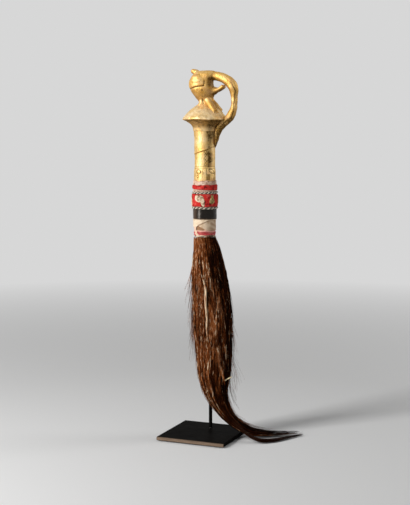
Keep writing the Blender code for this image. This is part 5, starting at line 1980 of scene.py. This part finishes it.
    def wisps(self, count: int, sector: Pair, seed: int) -> Shell:
        """Short wavy tufts over the mass: each lies along it, leans a little and lifts its tips.

        Args:
            count: How many strands.
            sector: The angles in the cross-section that they fill.
            seed: Which set of random numbers.

        Returns:
            The strands.
        """
        chance = np.random.default_rng(seed)
        groups, along = count // 6, np.linspace(0, 1, self.wisp_rings)
        member = chance.integers(0, groups, count)
        turn = (chance.uniform(*sector, groups)[member] + chance.normal(0, 0.030, count))[:, None]
        start = (chance.uniform(-0.04, 0.60, groups)[member] + chance.normal(0, 0.006, count))[:, None]
        length = (chance.uniform(0.10, 0.24, groups)[member] * chance.uniform(0.7, 1.1, count))[:, None]
        lean = chance.normal(0, 0.075, groups)[member][:, None]
        lift = chance.uniform(0, 0.10, groups)[member][:, None]
        phase = chance.uniform(0, math.tau, (2, groups))[:, member][..., None]
        own = chance.uniform(0, math.tau, (count, 1))
        share = np.maximum(start, 0) + length * along
        wave = 0.034 * np.sin(9 * along + phase[0]) + 0.020 * np.sin(17 * along + phase[1])
        turn = turn + lean * along + wave + 0.008 * np.sin(23 * along + own)
        out = 1.0 + 0.020 * np.sin(8 * along + phase[1]) + lift * along**2
        wide, deep = out * np.cos(turn), out * np.sin(turn)
        lines = self.clear(self.at(share, wide, deep))
        tone, single = chance.normal(0, 1.25, groups)[member][:, None], chance.normal(0, 1, (count, 1))
        radii = self.strand_radius * 0.9 * chance.uniform(0.7, 1.2, (count, 1))
        radii = radii * (hump(along - 0.42, 0.50) + 0.12)
        return self.strands(lines, radii, self.tint(share, tone, single, wide, deep))

    def over_cord(self) -> Shell:
        """Short hairs that rise over the green cord and fall back on the mass, most of them on the left.

        Returns:
            The strands.
        """
        chance = np.random.default_rng(self.seed + 95)
        count, along = 240, np.linspace(0, 1, self.wisp_rings)
        side = np.where(chance.uniform(0, 1, count) < 0.7, -1, 0.6)
        turn = (side * chance.uniform(0.1, 1.35, count) - math.pi / 2)[:, None]
        turn = turn + 0.05 * np.sin(7 * along + chance.uniform(0, math.tau, (count, 1)))
        rise = chance.uniform(0.0006, 0.0036, (count, 1)) * ease(along, 0.40, 0.0)
        share = chance.uniform(0.05, 0.12, (count, 1)) * along
        lines = self.at(share, np.cos(turn), np.sin(turn)) + rise[..., None] * UP
        out = unit((lines - AXIS) * np.array((1, 1, 0)))
        lines = lines + (0.0015 * ease(along, 0.75, 0.05))[:, None] * out
        tint = chance.normal(0.52, 0.12, (count, 1)) - 0.2 * ease(np.cos(turn), 0, 0.5)
        radii = np.full((count, self.wisp_rings), self.strand_radius * 0.8) * (hump(along - 0.5, 0.6) + 0.1)
        return self.strands(lines, radii, np.clip(tint, 0.1, 0.8))

    def floor_lock(self) -> Shell:
        """The thin wisp that parts from the tail's end and runs over the floor in front of it.

        Returns:
            The strands.
        """
        chance = np.random.default_rng(self.seed + 96)
        count, groups, fine = 420, 40, spline(self.floor_line, 200)
        first = chance.uniform(0.0, 0.25, (count, 1))
        last = 1 - 0.6 * chance.uniform(0, 1, (count, 1)) ** 1.2
        place = (first + (last - first) * np.linspace(0, 1, self.rings)) * (len(fine) - 1)
        along, across, height, width, depth = np.moveaxis(between(fine, place), -1, 0)
        group = chance.integers(0, groups, count)
        turn = (chance.uniform(0, math.tau, groups)[group] + chance.normal(0, 0.3, count))[:, None]
        reach = np.sqrt(chance.uniform(0, 1, groups))[group][:, None] + 0.10 * np.sin(place * 0.07 + turn * 3)
        across, height = across + width * reach * np.cos(turn), height + depth * reach * np.sin(turn)
        lines = AXIS + along[..., None] * SWEEP + across[..., None] * ACROSS + height[..., None] * UP
        tint = np.clip(chance.normal(0.16, 0.08, (count, 1)) + 0 * place, 0.03, 0.5)
        radii = self.strand_radius * chance.uniform(0.7, 1.1, (count, 1)) * np.linspace(1, 0.45, self.rings)
        return self.strands(self.clear(lines), radii, tint)

    def clear(self, lines: Array) -> Array:
        """Points kept in front of the post, over the plate and over the floor.

        The least height is a hair over the plate's top within its sides, and falls to the floor's in 3 mm.

        Args:
            lines: The strands' points.

        Returns:
            The points, moved where they must be.
        """
        over = np.maximum((lines - AXIS) @ ACROSS - self.back_limit, 0) * (lines[..., 2] < self.binding)
        lines = lines - over[..., None] * ACROSS
        beyond = np.abs(lines[..., :2]).max(-1) - self.plate_reach
        least = self.least_height + self.plate_top * ease(beyond, 0.0036, 0.0006)
        lines[..., 2] = np.maximum(lines[..., 2], least)
        return lines

    def straw(self) -> None:
        """A short bent bit of straw caught in the right edge of the hair."""
        share = np.linspace(0, 1, 14)
        along = mix(0.0278, 0.0376, share)
        height = 0.0832 + 0.0052 * ease(share, 0.0, 1.0) + 0.0006 * np.sin(share * math.tau)
        before = 0.0172 - 0.001 * share
        line = AXIS + along[:, None] * SWEEP + height[:, None] * UP - before[:, None] * ACROSS
        shell = bar(line, 0.00062 * (1 + 0.25 * np.sin(share * 12)), 10, UP, 1.4)
        piece("straw", shell, STRAW, Body.TAIL)

    def build(self) -> None:
        """Core, six sectors of strands, three locks, the finer hairs over them and the straw."""
        self.hang("shaded_hair_core", self.core(), BROWN_HAIR)
        front = -math.pi / 2
        sectors = (
            ("hair_front_left", -1.15, -0.25, 1560, "hair_lock_front"),
            ("hair_front_right", -0.25, 0.65, 1560, "hair_lock_left"),
            ("hair_right", 0.65, 1.75, 1560, "hair_lock_right"),
            ("hair_back_right", 1.75, 2.95, 950, "hair_lock_back"),
            ("hair_back_left", 2.95, 4.05, 950, "hair_skirt"),
            ("hair_left", 4.05, 5.13, 1560, ""),
        )
        for number, (name, low, high, count, node) in enumerate(sectors, self.seed):
            sector = (front + low, front + high)
            outer = self.clumped(int(count * 0.80), sector, (0.80, 1.0), number)
            inner = self.clumped(int(count * 0.20), sector, (0.45, 0.82), number + 20)
            self.hang(name, joined([outer, inner]), BROWN_HAIR, node)
        locks = (
            ("hair_pale_lock", self.pale_spots, -1.09, 190, (0.046, 0.045), 1.04, "hair_lock_pale"),
            ("hair_light_lock", self.light_spots, -0.96, 110, (0.075, 0.05), 0.72, ""),
            ("hair_pinkish_lock", self.pinkish_spots, -1.02, 110, (0.12, 0.05), 0.62, ""),
        )
        for number, (name, *shape, node) in enumerate(locks, self.seed + 50):
            self.hang(name, self.drawn(*shape, number), PALE_HAIR, node)
        self.hang("hair_loose", self.loose(), BROWN_HAIR)
        tufts = (("front_left", 2600, -1.3, 0.1), ("front_right", 2600, 0.1, 1.5), ("back", 1250, 1.5, 4.98))
        for number, (side, count, low, high) in enumerate(tufts, self.seed + 60):
            sector = (front + low, front + high)
            self.hang(f"hair_wisps_{side}", self.wisps(count, sector, number), BROWN_HAIR)
        self.hang("hair_over_cord", self.over_cord(), BROWN_HAIR)
        self.hang("hair_floor_lock", self.floor_lock(), BROWN_HAIR)
        self.straw()


@dataclass
class Stand:
    """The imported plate, post and saddle, which keep their shapes and take finishes, and the two felts."""

    felt_reach: float = 0.0478
    felt_top: float = 0.0009
    felt_round: float = 0.00045
    pad_turn: float = math.radians(34)
    pad_height: float = 0.3178
    pad_reach: float = 0.0045
    pad_radius: float = 0.0173
    pad_thick: float = 0.0003

    finishes: dict[str, Finish] = field(
        default_factory=lambda: {
            "base_plate": BLACK_STEEL,
            "post": BLACK_STEEL,
            "post_screw": SCREW_STEEL,
            "saddle": BLACK_STEEL,
            "handle_core": WOOD,
        }
    )

    def foot_felt(self) -> None:
        """The felt under the plate: a slightly uneven square with |x|^20 + |y|^20 = reach^20."""
        turn, lean = turns(240), np.linspace(0, math.pi, 9)[:, None]
        square = (np.abs(np.cos(turn)) ** 20 + np.abs(np.sin(turn)) ** 20) ** -0.05
        reach = (self.felt_reach - self.felt_round * (1 - np.sin(lean))) * square
        rough = 0.00008 * ripple(outward(turn)[:, :2] * self.felt_reach, 81, 0.006, 0.002)
        grid = barrel(reach + rough, self.felt_top / 2 * (1 - np.cos(lean)), turn)
        shell = skin(grid, (400, 2), (np.zeros(3), UP * self.felt_top))
        felt = piece("felt_sheet", shell, FELT, Body.STAND, "felt_pad")

    def saddle_felt(self) -> None:
        """The felt in the saddle: an arc round the handle behind the leather band, with rounded rims."""
        lean = turns(28)
        tall = squarer(np.sin(lean), 0.35) * self.pad_reach
        thick = squarer(np.cos(lean), 0.6) * self.pad_thick
        turn = math.pi / 2 + np.linspace(-1, 1, 40)[:, None] * self.pad_turn
        grid = around(self.pad_radius + thick, self.pad_height + tall, turn)
        shell = skin(grid[:, ::-1], (20, 20), (grid[0].mean(0), grid[-1].mean(0)))
        piece("saddle_felt", shell, FELT, Body.STAND, "saddle_pad")

    def build(self) -> None:
        """Dress each node that shows, and the handle's wooden core, and lay the felts."""
        self.foot_felt()
        self.saddle_felt()
        for name, finish in self.finishes.items():
            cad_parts[name].material_slots[0].material = finish.material()
            log.info("%s: packed node, %s", name, finish.name)


def main() -> None:
    """Build the studio and every sub-assembly, and note the sizes."""
    logging.basicConfig(level=logging.INFO, format="%(message)s")
    for part in (Studio(), Stand(), Finial(), Shaft(), Wrappings(), Tail()):
        part.build()


if __name__ == "__main__":
    main()
